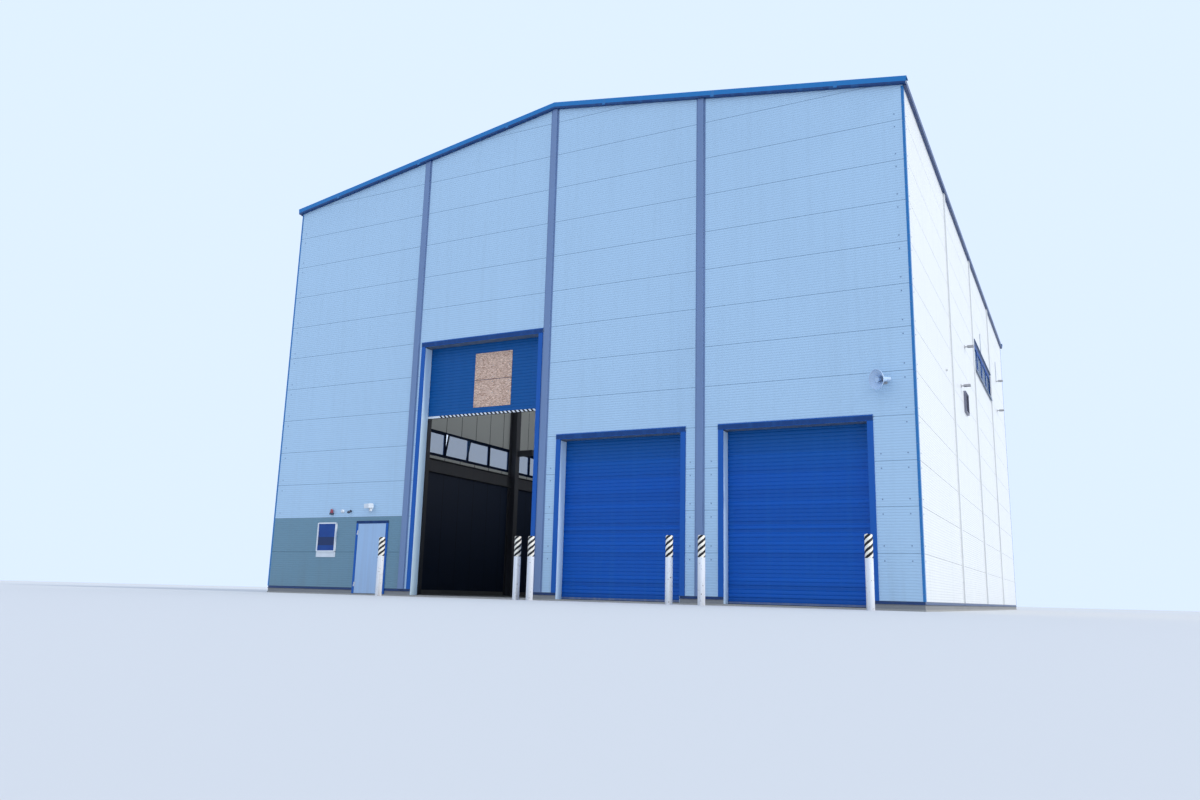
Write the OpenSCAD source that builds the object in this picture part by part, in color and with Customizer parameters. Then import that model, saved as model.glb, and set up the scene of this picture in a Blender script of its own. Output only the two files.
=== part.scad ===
// Steel-framed factory hall clad in horizontal sandwich panels, with three roller shutters,
// a side door, strip windows and guard posts.
// The origin is the centre of the footprint on the ground. X runs along the front, Y into the
// hall and Z up, so the front wall faces -Y. Lengths are in millimetres.

/* [Hall] */
// Width over the outer faces of the side walls
hall_w = 18900; // [18700:50:20000]
// Depth over the outer faces of the front and rear walls
hall_d = 25700; // [24000:100:27000]
// Height of the side walls above the ground
eaves_h = 12100; // [11500:100:13000]
// Rise of the gable from the eaves to the ridge
ridge_rise = 1550; // [1200:50:2000]
// Spacing of the gable posts and of the cover strips on the end walls
gable_pitch = 4400; // [4380:5:4450]

/* [Base] */
// Height of the floor slab above the ground
slab_h = 40; // [20:5:80]
// Height of the plinth's top above the ground
plinth_h = 200; // [150:10:300]
// Set-back of the plinth behind the panels
plinth_back = 12; // [4:1:30]
// Height of the drip flashing on the plinth
drip_h = 60; // [40:5:100]
// Reach of the drip flashing's lip past the panels
drip_proud = 15; // [5:1:30]

/* [Wall panels] */
// Thickness of a wall panel
panel_t = 100; // [80:5:120]
// Height of a wall panel
panel_h = 1000; // [900:25:1100]
// Rows of darker panels beside the side door
dado_rows = 2; // [2:1:3]
// Open joint between the panels of two bays
bay_joint = 20; // [10:2:40]
// Width of the groove between two rows of panels
groove_w = 14; // [8:1:24]
// Depth of the groove between two rows of panels
groove_d = 8; // [4:1:12]

/* [Strips and flashings] */
// Thickness of the folded sheet
sheet_t = 3; // [2:0.5:5]
// Width of a cover strip
strip_w = 250; // [220:5:260]
// Width of a cover strip's raised middle
strip_crown = 160; // [120:5:190]
// Height of a cover strip's raised middle
strip_proud = 40; // [20:2:60]
// Width of each leg of a corner flashing
corner_w = 110; // [80:5:150]
// Distance of the verge flashing's face from the end wall
verge_proud = 100; // [60:5:150]
// Drop of the verge flashing below the roof panels
verge_drop = 40; // [20:5:60]
// Width of the verge flashing on the roof
verge_cover = 150; // [120:5:200]
// Distance of the eaves flashing's face from the side wall
eaves_proud = 80; // [70:5:120]
// Drop of the eaves flashing below the wall's top
eaves_drop = 60; // [50:5:90]
// Width of each leg of the ridge cap
ridge_cap_w = 250; // [150:10:400]

/* [Roof] */
// Thickness of a roof panel
roof_t = 100; // [80:5:120]
// Height of a roof rib
rib_h = 35; // [25:1:45]
// Width of a roof rib at its foot
rib_foot = 60; // [45:1:80]
// Width of a roof rib at its top
rib_top = 24; // [15:1:35]
// Largest spacing of the roof ribs
rib_pitch = 335; // [250:5:500]
// Overhang of the roof panels past the side walls
roof_over = 40; // [20:5:50]
// Depth of a purlin
purlin_h = 200; // [150:5:250]
// Width of a purlin's flange
purlin_w = 70; // [50:5:90]
// Largest spacing of the purlins along the width
purlin_pitch = 1850; // [1500:50:2400]

/* [Frame] */
// Depth of a portal column across the hall
column_d = 360; // [300:10:400]
// Width of a portal column along the hall
column_w = 300; // [200:10:300]
// Depth of a rafter
rafter_d = 400; // [300:10:500]
// Width of a rafter's flanges
rafter_w = 180; // [150:5:220]
// Thickness of the flanges of columns and rafters
flange_t = 20; // [14:1:26]
// Thickness of the webs of columns and rafters
web_t = 12; // [8:1:16]
// Length of the haunch under a rafter's end
haunch_l = 1600; // [1000:50:2500]
// Depth of the haunch at the column
haunch_h = 380; // [250:10:500]
// Height of the corbel's top on the middle left column
corbel_z = 6140; // [5900:10:6400]
// Reach of the corbel from the column
corbel_l = 760; // [500:10:900]
// Depth of the corbel
corbel_h = 240; // [180:10:300]
// Depth of a gable post and of the rails between the posts
post_d = 200; // [180:5:240]
// Width of a gable post
post_w = 200; // [160:5:220]
// Thickness of the flanges and webs of posts and rails
post_t = 12; // [8:1:16]
// Height of the side rail below the left windows above the ground
rail_z = 4550; // [4300:50:4600]
// Height of the side rail below the left windows
rail_h = 500; // [400:10:500]

/* [Tall doorway] */
// Share of the bay's spare width that lies left of the tall doorway
tall_share = 0.64; // [0:0.01:1]
// Clear width of the tall doorway
tall_w = 3800; // [3600:10:3810]
// Clear height of the tall doorway above the ground
tall_h = 7060; // [6500:10:7500]
// Height of the raised curtain that still hangs in the doorway
tall_hang = 2060; // [1900:10:3500]

/* [Low doorways] */
// Share of the bay's spare width that lies left of the middle doorway
middle_share = 0.523; // [0:0.001:1]
// Share of the bay's spare width that lies left of the right doorway
right_share = 0.423; // [0:0.001:1]
// Clear width of a low doorway
low_w = 3360; // [3100:10:3400]
// Clear height of a low doorway above the ground
low_h = 4110; // [3800:10:4600]

/* [Shutters] */
// Width of the folded trim round a doorway
trim_w = 140; // [100:5:140]
// Height of the trim above the panels
trim_proud = 20; // [12:1:30]
// Thickness of the sheet that lines a doorway
lining_t = 4; // [2:0.5:6]
// Width of the post beside a doorway
jamb_w = 90; // [80:5:100]
// Height of the beam over a doorway
lintel_h = 150; // [120:5:200]
// Height of one shutter slat
slat_h = 92; // [75:1:120]
// Thickness of a slat
slat_t = 22; // [18:1:28]
// Depth of the hollow between two slats
slat_hollow = 7; // [3:1:9]
// Height of the bar under a curtain
bar_h = 60; // [50:5:120]
// Reach of the curtain into a guide
guide_bite = 50; // [35:1:60]
// Width of a guide
guide_w = 70; // [65:1:80]
// Thickness of a guide's walls
guide_t = 5; // [4:1:8]
// Play between the curtain and a guide's wall
guide_play = 3; // [2:0.5:5]
// Diameter of the barrel that a curtain winds on
barrel_d = 240; // [200:5:300]
// Height of the barrel's axis above the clear opening
barrel_rise = 520; // [450:10:600]
// Diameter of the barrel's axle
axle_d = 60; // [50:2:80]
// Thickness of a barrel bracket
bracket_t = 14; // [10:1:20]
// Gap between the roll and a bracket
bracket_gap = 12; // [8:1:20]
// Thickness of the boarding fixed to the tall curtain
board_t = 12; // [9:1:18]
// Width of the boarding
board_w = 1230; // [1000:10:1500]
// Height of each of the two boards
board_h = 775; // [600:5:800]
// Gap between the two boards
board_gap = 6; // [2:1:12]
// Place of the boarding's left edge from the doorway's left side
board_left = 1560; // [1200:10:2000]
// Height of the boarding's lower edge above the curtain's lower edge
board_up = 220; // [150:10:300]

/* [Side door] */
// Distance of the side door's centre from the gable post on its right
door_in = 1165; // [900:5:1400]
// Width of the door leaf
leaf_w = 1000; // [850:10:1050]
// Height of the leaf's top above the ground
leaf_top = 2000; // [1900:10:2050]
// Thickness of the leaf
leaf_t = 50; // [40:1:60]
// Gap round the leaf
leaf_gap = 7; // [7:0.5:9]
// Gap under the leaf
leaf_lift = 10; // [6:1:20]
// Face width of the door frame
frame_w = 75; // [60:1:90]
// Height of the door frame above the panels
frame_proud = 20; // [12:1:30]
// Width of the stop behind the leaf
stop_w = 18; // [12:1:25]
// Radius of a hinge knuckle
knuckle_r = 11; // [9:0.5:14]
// Length of a hinge knuckle
knuckle_h = 60; // [40:1:80]
// Radius of a hinge pin
pin_r = 5; // [4:0.5:6]
// Play round a hinge pin
pin_play = 0.3; // [0.2:0.05:0.5]
// Distance of the hinges from the leaf's ends
hinge_in = 250; // [150:10:350]
// Height of the handles above the ground
handle_z = 1050; // [950:10:1150]
// Distance of the handles from the leaf's free edge
handle_in = 70; // [60:1:90]
// Length of a handle's lever
lever_l = 130; // [100:5:150]

/* [Windows] */
// Rows of panels below the left windows
left_window_row = 5; // [5:1:5]
// Rows of panels below the right window
right_window_row = 8; // [7:1:8]
// Casements in one window
casements = 4; // [3:1:6]
// Width of the fixed window frame
window_frame_w = 60; // [45:1:80]
// Depth of the fixed window frame
window_frame_d = 70; // [60:1:80]
// Set-back of the window frame behind the panels
window_back = 15; // [5:1:20]
// Width of a casement's frame
sash_w = 55; // [40:1:70]
// Depth of a casement's frame
sash_d = 50; // [40:1:60]
// Thickness of the glass
glass_t = 20; // [16:1:28]
// Reach of the window sills and hoods past the panels
sill_proud = 60; // [40:5:90]
// Tilt of the left window's open casement
tilt = 10; // [0:1:12]

/* [Wall fittings] */
// Width of the notice board
notice_w = 720; // [500:10:900]
// Height of the notice board
notice_h = 1000; // [700:10:1100]
// Thickness of the notice board
notice_t = 50; // [30:2:80]
// Distance of the notice board's centre from the side door's centre
notice_out = 1675; // [1300:5:2000]
// Height of the notice board's lower edge above the ground
notice_z = 1050; // [900:10:1100]
// Distance of the door lamp from the side door's centre
lamp_out = 85; // [0:5:300]
// Height of the door lamp above the ground
lamp_z = 2480; // [2400:10:2700]
// Distances of the sensors from the side door's centre
sensor_out = [845, 1145, 1535];
// Depth of the sensors' middle below the lamp's
sensor_drop = 110; // [80:5:150]
// Diameter of the horn speaker's mouth
horn_d = 480; // [400:5:520]
// Distance of the horn speaker from the front's right corner
horn_in = 830; // [700:10:1100]
// Height of the horn speaker above the ground
horn_z = 4990; // [4700:10:5300]
// Width of the louvred vent on the right wall
vent_w = 750; // [500:10:900]
// Height of the louvred vent
vent_h = 650; // [500:10:800]
// Height of the vent's lower edge above the ground
vent_z = 5950; // [5600:10:6200]
// Distance of the vent's middle from the cover strip in front of it
vent_in = 2900; // [1500:10:4500]
// Reach of a side wall lamp from the wall
side_lamp_l = 280; // [200:10:350]
// Side wall lamps: number of the cover strip in front, distance from it, height above the ground
side_lamp_at = [[1, 3550, 8250], [1, 1950, 6630], [3, 2900, 9650], [3, 2600, 8300]];

/* [Guard posts] */
// Diameter of a guard post
guard_d = 170; // [140:5:220]
// Height of a guard post above the ground
guard_h = 1550; // [1200:10:1700]
// Distance of the guard posts from the front wall
guard_out = 1000; // [700:10:1300]
// Distance of a guard post from the side of a low doorway
guard_side = 160; // [100:5:200]
// Distance of a guard post from the side of the tall doorway
tall_guard_side = 255; // [200:5:260]

/* [Hidden] */
$fn = 48;

// Clearance between pieces that seat on each other
fit = 0.3;
half_w = hall_w / 2;
half_d = hall_d / 2;
slope = atan(ridge_rise / half_w);
dado_h = plinth_h + dado_rows * panel_h;
// Strips, corners and trims start at the panels' lower edge
strip_z = plinth_h + fit;
purlin_drop = purlin_h / cos(slope);
// Portal frames: the end frames stand behind the gable posts, the others are spaced evenly
end_frame_y = half_d - panel_t - post_d - column_w / 2;
frame_y = [for (i = [-2:2]) i * end_frame_y / 2];
post_x = [-gable_pitch, 0, gable_pitch];
// Edges of the four bays of an end wall
bay_edge = [-half_w, -gable_pitch, 0, gable_pitch, half_w];
// Planes behind the front wall's outer face
inner_y = -half_d + panel_t;
guide_y = inner_y + post_d;
curtain_y = guide_y + guide_t + guide_play;
guide_depth = slat_t + 2 * guide_play + 2 * guide_t;
// Half the width that a doorway takes with its posts, and with its barrel's brackets
function posts_half(w) = w / 2 + lining_t + fit + jamb_w;
function barrel_half(w) = w / 2 + guide_bite + bracket_gap + bracket_t;
// Centre of a doorway whose posts start after x0 and end before x1
function doorway_x(w, x0, x1, share) = x0 + posts_half(w) + share * (x1 - x0 - 2 * posts_half(w));
post_half = post_w / 2;
tall_x = doorway_x(tall_w, -gable_pitch + post_half, -post_half, tall_share);
middle_x = doorway_x(low_w, post_half, gable_pitch - post_half, middle_share);
// The right doorway's barrel also clears the corner column
corner_x = half_w - panel_t - column_d - fit + posts_half(low_w) - barrel_half(low_w);
right_x = doorway_x(low_w, gable_pitch + post_half, corner_x, right_share);
tall_open = tall_h - tall_hang;
// Doorways: centre, clear width, clear height, lower edge of the curtain
tall = [tall_x, tall_w, tall_h, tall_open];
middle = [middle_x, low_w, low_h, slab_h + fit];
right = [right_x, low_w, low_h, slab_h + fit];
doorways = [tall, middle, right];
function door_side(d, s) = d[0] + s * d[1] / 2;
// The panels and the posts stop just outside the lining
function panel_side(d, s) = door_side(d, s) + s * (lining_t + fit);
// Underside of the roof panels at a place along the width
function roof_z(x) = eaves_h + ridge_rise * (1 - abs(x) / half_w);
// Joints between rows of panels that lie between two heights
function joints(z0, z1) = [
    for (row = [1:ceil((eaves_h + ridge_rise) / panel_h)])
        let (z = plinth_h + row * panel_h)
            if (z > z0 + groove_w && z < z1 - groove_w) z
];
// Side door: centre, edges of the leaf and of the panel opening
door_x = -gable_pitch - door_in;
leaf_left = door_x - leaf_w / 2;
leaf_right = door_x + leaf_w / 2;
leaf_bottom = slab_h + leaf_lift;
door_left = leaf_left - leaf_gap - frame_w;
door_right = leaf_right + leaf_gap + frame_w;
door_head = leaf_top + leaf_gap + frame_w;
leaf_face = -half_d - frame_proud;
hinge_x = leaf_left - leaf_gap / 2;
hinge_y = leaf_face - knuckle_r;
hinge_z = [leaf_bottom + hinge_in, leaf_top - hinge_in];
// Windows lie between the cover strips of a side wall's bay
window_l = end_frame_y / 2 - bay_joint;
left_window_z = plinth_h + left_window_row * panel_h;
right_window_z = plinth_h + right_window_row * panel_h;
// Windows: side of the hall, middle along the hall, height of the lower edge
windows = [
    [-1, frame_y[1] + end_frame_y / 4, left_window_z],
    [-1, frame_y[2] + end_frame_y / 4, left_window_z],
    [1, frame_y[2] + end_frame_y / 4, right_window_z]
];
casement_l = (window_l - 2 * window_frame_w) / casements;

// A run of wall panels along X, with its outer face at y = 0 and a groove at each joint
module panel_run(length, z0, z1) {
    rows = joints(z0, z1);
    last = len(rows) - 1;
    rotate([90, 0, 90])
        linear_extrude(length)
            polygon(concat(
                [[panel_t, z0], [panel_t, z1], [0, z1]],
                [for (i = [0:1:last], p = [
                    [0, rows[last - i] + groove_w / 2],
                    [groove_d, rows[last - i]],
                    [0, rows[last - i] - groove_w / 2]
                ]) p],
                [[0, z0]]
            ));
}

// Panels of the front wall between two places along X
module front_run(x0, x1, z0, z1) {
    translate([x0, -half_d, 0]) panel_run(x1 - x0, z0, z1);
}

// Panels of a side wall between two places along Y; side is 1 on the right and -1 on the left
module side_run(side, y0, y1, z0, z1) {
    mirror([side < 0 ? 1 : 0, 0, 0])
        translate([half_w, y0, 0])
            rotate([0, 0, 90])
                panel_run(y1 - y0, z0, z1);
}

// The outline of the gable, lowered by a drop, as a prism through the whole hall
module gable_prism(drop = 0) {
    rotate([90, 0, 0])
        linear_extrude(2 * hall_d, center = true)
            polygon([
                [-half_w, 0],
                [half_w, 0],
                [half_w, eaves_h - drop],
                [0, eaves_h + ridge_rise - drop],
                [-half_w, eaves_h - drop]
            ]);
}

// A folded hat strip along +Z on the plane y = 0, standing proud towards -Y
module hat_strip(length, width, crown, proud) {
    step = (width - crown) / 2;
    linear_extrude(length)
        polygon([
            [-width / 2, 0], [-width / 2, -sheet_t],
            [-crown / 2, -sheet_t], [-crown / 2, -proud],
            [crown / 2, -proud], [crown / 2, -sheet_t],
            [width / 2, -sheet_t], [width / 2, 0],
            [crown / 2 - sheet_t, 0], [crown / 2 - sheet_t, sheet_t - proud],
            [sheet_t - crown / 2, sheet_t - proud], [sheet_t - crown / 2, 0]
        ]);
}

// An I section along +Z, its depth along Y
module i_section(length, depth, width, flange, web) {
    linear_extrude(length)
        union() {
            square([web, depth], center = true);
            for (s = [-1, 1])
                translate([0, s * (depth - flange) / 2]) square([width, flange], center = true);
        }
}

// A channel along +X, its web at y = 0 and its flanges towards +Y
module channel(length, height, depth, wall) {
    rotate([90, 0, 90])
        linear_extrude(length)
            polygon([
                [0, 0], [depth, 0], [depth, wall], [wall, wall],
                [wall, height - wall], [depth, height - wall], [depth, height], [0, height]
            ]);
}

// Everything on the right of the ridge
module right_half() {
    intersection() {
        children();
        translate([fit / 2, -hall_d, 0]) cube([hall_w, 2 * hall_d, eaves_h + 2 * ridge_rise]);
    }
}

// A copy on each side of the ridge
module both_sides() {
    children();
    mirror([1, 0, 0]) children();
}

// A copy at the front and one at the rear
module both_ends() {
    children();
    mirror([0, 1, 0]) children();
}

// The right roof slope's own frame: x down the slope from the ridge, z out of the roof
module on_right_slope() {
    translate([0, 0, eaves_h + ridge_rise]) rotate([0, slope, 0]) children();
}

module floor_slab() {
    color([0.55, 0.55, 0.53])
        translate([-half_w, -half_d, 0]) cube([hall_w, hall_d, slab_h]);
}

// One straight length of plinth on the front, between two places along X
module front_kerb(x0, x1) {
    translate([x0, -half_d + plinth_back, slab_h])
        cube([x1 - x0, panel_t - plinth_back, plinth_h - slab_h]);
}

module plinth() {
    kerb_t = panel_t - plinth_back;
    kerb_h = plinth_h - slab_h;
    color([0.5, 0.5, 0.5]) {
        front_kerb(-half_w + plinth_back, door_left);
        front_kerb(door_right, panel_side(tall, -1));
        front_kerb(panel_side(tall, 1), panel_side(middle, -1));
        front_kerb(panel_side(middle, 1), panel_side(right, -1));
        front_kerb(panel_side(right, 1), half_w - plinth_back);
        both_sides()
            translate([half_w - panel_t, -half_d + panel_t + fit, slab_h])
                cube([kerb_t, hall_d - 2 * (panel_t + fit), kerb_h]);
        translate([-half_w + plinth_back, half_d - panel_t, slab_h])
            cube([hall_w - 2 * plinth_back, kerb_t, kerb_h]);
    }
}

// Folded drip flashing on the outer face of the plinth, between two places along +X
module drip(x0, x1) {
    lip = drip_h / 4;
    translate([x0, plinth_back, plinth_h - fit])
        rotate([90, 0, 90])
            linear_extrude(x1 - x0)
                polygon([
                    [0, 0], [-sheet_t, 0], [-sheet_t, lip - drip_h],
                    [-plinth_back - drip_proud, -drip_h], [-plinth_back - drip_proud, -drip_h - sheet_t],
                    [0, lip - drip_h - sheet_t]
                ]);
}

module base_drips() {
    corner = plinth_back + fit;
    color([0.3, 0.36, 0.42]) {
        translate([0, -half_d, 0]) {
            drip(-half_w + corner, door_left);
            drip(door_right, panel_side(tall, -1));
            drip(panel_side(tall, 1), panel_side(middle, -1));
            drip(panel_side(middle, 1), panel_side(right, -1));
            drip(panel_side(right, 1), half_w - corner);
        }
        mirror([0, 1, 0]) translate([0, -half_d, 0]) drip(-half_w + corner, half_w - corner);
        both_sides()
            translate([half_w, 0, 0])
                rotate([0, 0, 90])
                    drip(-half_d + corner, half_d - corner);
    }
}

// One bay of an end wall, from a height up to the roof
module gable_bay(bay, z0) {
    first = bay == 0 ? 0 : bay_joint / 2;
    last = bay == 3 ? 0 : bay_joint / 2;
    intersection() {
        front_run(bay_edge[bay] + first, bay_edge[bay + 1] - last, z0, eaves_h + ridge_rise);
        gable_prism();
    }
}

module front_panels_bay_1() {
    color([0.62, 0.76, 0.9]) gable_bay(0, dado_h + fit);
}

module front_panels_bay_2() {
    color([0.62, 0.76, 0.9]) gable_bay(1, tall_h + lining_t);
}

module front_panels_bay_3() {
    color([0.62, 0.76, 0.9]) gable_bay(2, low_h + lining_t);
}

module front_panels_bay_4() {
    color([0.62, 0.76, 0.9]) gable_bay(3, low_h + lining_t);
}

// The two darker rows beside the side door, and the short piece over it
module front_dado_panels() {
    bay_end = -gable_pitch - bay_joint / 2;
    color([0.44, 0.56, 0.62]) {
        front_run(-half_w, door_left, plinth_h, dado_h);
        front_run(door_right, bay_end, plinth_h, dado_h);
        front_run(door_left + fit, door_right - fit, door_head, dado_h);
    }
}

// The narrow panels beside the shutters
module front_jamb_panels() {
    gap = bay_joint / 2;
    color([0.62, 0.76, 0.9]) {
        front_run(-gable_pitch + gap, panel_side(tall, -1), plinth_h, tall_h + lining_t - fit);
        front_run(panel_side(tall, 1), -gap, plinth_h, tall_h + lining_t - fit);
        front_run(gap, panel_side(middle, -1), plinth_h, low_h + lining_t - fit);
        front_run(panel_side(middle, 1), gable_pitch - gap, plinth_h, low_h + lining_t - fit);
        front_run(gable_pitch + gap, panel_side(right, -1), plinth_h, low_h + lining_t - fit);
        front_run(panel_side(right, 1), half_w, plinth_h, low_h + lining_t - fit);
    }
}

module rear_wall_panels() {
    color([0.62, 0.76, 0.9])
        mirror([0, 1, 0])
            for (bay = [0:3]) gable_bay(bay, plinth_h);
}

// The panels of one bay of a side wall, with an opening one row high where there is a window
module side_bay(side, bay, window_z) {
    y0 = bay == 0 ? -half_d + panel_t + fit : frame_y[bay] + bay_joint / 2;
    y1 = bay == 3 ? half_d - panel_t - fit : frame_y[bay + 1] - bay_joint / 2;
    if (window_z == 0) {
        side_run(side, y0, y1, plinth_h, eaves_h);
    } else {
        side_run(side, y0, y1, plinth_h, window_z);
        side_run(side, y0, y1, window_z + panel_h, eaves_h);
    }
}

module left_wall_panels() {
    color([0.93, 0.95, 0.97])
        for (bay = [0:3]) side_bay(-1, bay, bay == 1 || bay == 2 ? left_window_z : 0);
}

module right_wall_panels() {
    color([0.93, 0.95, 0.97])
        for (bay = [0:3]) side_bay(1, bay, bay == 2 ? right_window_z : 0);
}

// The cover strips of an end wall
module gable_strips() {
    intersection() {
        for (x = post_x)
            translate([x, -half_d, strip_z])
                hat_strip(eaves_h + ridge_rise, strip_w, strip_crown, strip_proud);
        gable_prism(verge_drop / cos(slope) + fit);
    }
}

module front_cover_strips() {
    color([0.49, 0.54, 0.7]) gable_strips();
}

module rear_cover_strips() {
    color([0.49, 0.54, 0.7]) mirror([0, 1, 0]) gable_strips();
}

module side_cover_strips() {
    color([0.85, 0.88, 0.92])
        both_sides()
            for (y = [frame_y[1], frame_y[2], frame_y[3]])
                translate([half_w, y, strip_z])
                    rotate([0, 0, 90])
                        hat_strip(eaves_h - eaves_drop - strip_z - fit, strip_w, strip_crown, strip_proud);
}

module corner_flashings() {
    color([0.1, 0.38, 0.72])
        both_ends()
            both_sides()
                translate([half_w, -half_d, strip_z])
                    linear_extrude(eaves_h - eaves_drop - strip_z - fit)
                        polygon([
                            [-corner_w, -sheet_t], [sheet_t, -sheet_t], [sheet_t, corner_w],
                            [0, corner_w], [0, 0], [-corner_w, 0]
                        ]);
}

// Height of the rib tops above the roof panels' underside
crest = roof_t + rib_h;

module verge_flashings() {
    color([0.12, 0.45, 0.8])
        both_ends()
            both_sides()
                right_half()
                    on_right_slope()
                        translate([-ridge_cap_w, -half_d, 0])
                            rotate([90, 0, 90])
                                linear_extrude(ridge_cap_w + (half_w + eaves_proud) / cos(slope))
                                    polygon([
                                        [-verge_proud, -verge_drop], [-verge_proud, crest + sheet_t],
                                        [verge_cover, crest + sheet_t], [verge_cover, crest],
                                        [sheet_t - verge_proud, crest],
                                        [sheet_t - verge_proud, sheet_t - verge_drop],
                                        [-fit, sheet_t - verge_drop], [-fit, -verge_drop]
                                    ]);
}

module eaves_flashings() {
    color([0.08, 0.2, 0.45])
        both_sides()
            translate([half_w, half_d, eaves_h])
                rotate([90, 0, 0])
                    linear_extrude(hall_d)
                        polygon([
                            [0, -eaves_drop], [eaves_proud, -eaves_drop], [eaves_proud, roof_t - eaves_drop / 2],
                            [eaves_proud - sheet_t, roof_t - eaves_drop / 2],
                            [eaves_proud - sheet_t, sheet_t - eaves_drop], [0, sheet_t - eaves_drop]
                        ]);
}

// A roof slope: flat panels with a trapezoid rib at even steps, a rib under each verge flashing
module roof_slope() {
    edge = verge_cover / 2;
    steps = ceil((hall_d - 2 * edge) / rib_pitch);
    step = (hall_d - 2 * edge) / steps;
    rotate([90, 0, 90])
        linear_extrude((half_w + roof_over) / cos(slope))
            polygon(concat(
                [[half_d, roof_t], [half_d, 0], [-half_d, 0], [-half_d, roof_t]],
                [for (i = [0:steps], p = [[-rib_foot, 0], [-rib_top, rib_h], [rib_top, rib_h], [rib_foot, 0]])
                    [edge - half_d + i * step + p[0] / 2, roof_t + p[1]]]
            ));
}

module roof_right() {
    color([0.75, 0.8, 0.86]) on_right_slope() roof_slope();
}

module roof_left() {
    color([0.75, 0.8, 0.86]) mirror([1, 0, 0]) on_right_slope() roof_slope();
}

// A folded cap that lies on the ribs of both slopes, between the verge flashings
module ridge_cap() {
    reach = hall_d - 2 * (verge_cover + fit);
    top_z = eaves_h + ridge_rise + crest / cos(slope) + fit;
    fall = ridge_cap_w * tan(slope);
    color([0.12, 0.45, 0.8])
        rotate([90, 0, 0])
            linear_extrude(reach, center = true)
                polygon([
                    [-ridge_cap_w, top_z - fall], [0, top_z], [ridge_cap_w, top_z - fall],
                    [ridge_cap_w, top_z - fall + sheet_t], [0, top_z + sheet_t],
                    [-ridge_cap_w, top_z - fall + sheet_t]
                ]);
}

module purlins() {
    first = 2 * purlin_w;
    last = half_w - panel_t - 2 * purlin_w;
    steps = ceil((last - first) / purlin_pitch);
    color([0.6, 0.62, 0.64])
        both_sides()
            on_right_slope()
                for (i = [0:steps])
                    translate([(first + i * (last - first) / steps) / cos(slope), inner_y + fit, -purlin_h])
                        mirror([1, -1, 0])
                            channel(-2 * (inner_y + fit), purlin_h, purlin_w, post_t / 2);
}

// Portal columns stand on the slab and are cut to the slope of the rafters
module column_row() {
    intersection() {
        for (y = frame_y)
            translate([half_w - panel_t - column_d / 2, y, slab_h])
                rotate([0, 0, 90])
                    i_section(eaves_h + ridge_rise, column_d, column_w, flange_t, web_t);
        gable_prism(purlin_drop + fit);
    }
}

module right_columns() {
    color([0.45, 0.48, 0.52]) column_row();
}

// The middle column on the left carries a short corbel with a stiff end plate
module left_columns() {
    inner_face = -half_w + panel_t + column_d;
    color([0.45, 0.48, 0.52]) {
        mirror([1, 0, 0]) column_row();
        translate([inner_face, frame_y[2], corbel_z - corbel_h])
            rotate([90, 0, 90])
                linear_extrude(corbel_l)
                    translate([0, corbel_h / 2]) {
                        square([web_t, corbel_h], center = true);
                        for (s = [-1, 1])
                            translate([0, s * (corbel_h - flange_t) / 2])
                                square([rafter_w, flange_t], center = true);
                    }
        translate([inner_face + corbel_l, frame_y[2] - rafter_w / 2, corbel_z - corbel_h])
            cube([web_t, rafter_w, corbel_h]);
    }
}

// A band that follows the right slope between two drops below the roof, as wide as given along Y
module slope_band(x1, drop0, drop1, width) {
    rotate([90, 0, 0])
        linear_extrude(width, center = true)
            polygon([
                [fit / 2, roof_z(0) - drop0], [x1, roof_z(x1) - drop0],
                [x1, roof_z(x1) - drop1], [fit / 2, roof_z(0) - drop1]
            ]);
}

// A haunch below the right rafter's end: a web and a flange that slopes back to the rafter
module haunch(reach, bottom) {
    x0 = reach - haunch_l;
    z0 = roof_z(x0) - bottom;
    z1 = roof_z(reach) - bottom;
    bite = flange_t / 2;
    rotate([90, 0, 0])
        linear_extrude(web_t, center = true)
            polygon([[x0, z0 + bite], [reach, z1 + bite], [reach, z1 - haunch_h], [x0, z0]]);
    rotate([90, 0, 0])
        linear_extrude(rafter_w, center = true)
            polygon([
                [x0, z0 + bite], [reach, z1 - haunch_h + flange_t], [reach, z1 - haunch_h], [x0, z0 - bite]
            ]);
}

module rafters() {
    reach = half_w - panel_t - column_d - fit;
    top = purlin_drop + fit;
    bottom = top + rafter_d;
    color([0.45, 0.48, 0.52])
        both_sides()
            for (y = frame_y)
                translate([0, y, 0]) {
                    slope_band(reach, top, top + flange_t, rafter_w);
                    slope_band(reach, top, bottom, web_t);
                    slope_band(reach, bottom - flange_t, bottom, rafter_w);
                    haunch(reach, bottom);
                }
}

// Gable posts carry the end wall's panels and reach up to the purlins
module gable_posts() {
    for (x = post_x)
        translate([x, inner_y + post_d / 2, slab_h])
            i_section(roof_z(abs(x) + post_w / 2) - purlin_drop - slab_h - fit, post_d, post_w, post_t, post_t);
}

module front_gable_posts() {
    color([0.45, 0.48, 0.52]) gable_posts();
}

module rear_gable_posts() {
    color([0.45, 0.48, 0.52]) mirror([0, 1, 0]) gable_posts();
}

// Rails between the columns under the windows, and rails over the shutters' posts
module wall_rails() {
    span = end_frame_y / 2 - column_w - 2 * fit;
    rail_top = [for (d = doorways) jamb_top(d)];
    color([0.4, 0.43, 0.48]) {
        both_sides()
            for (bay = [0:3])
                translate([half_w - panel_t, frame_y[bay] + column_w / 2 + fit, rail_z])
                    rotate([0, 0, 90])
                        channel(span, rail_h, post_d, post_t);
        front_rail(-gable_pitch + post_w / 2 + fit, -post_w / 2 - fit, rail_top[0]);
        front_rail(post_w / 2 + fit, gable_pitch - post_w / 2 - fit, rail_top[1]);
        front_rail(gable_pitch + post_w / 2 + fit, half_w - panel_t - fit, rail_top[2]);
    }
}

module front_rail(x0, x1, z) {
    translate([x0, inner_y, z]) channel(x1 - x0, lintel_h, post_d, post_t);
}

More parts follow.
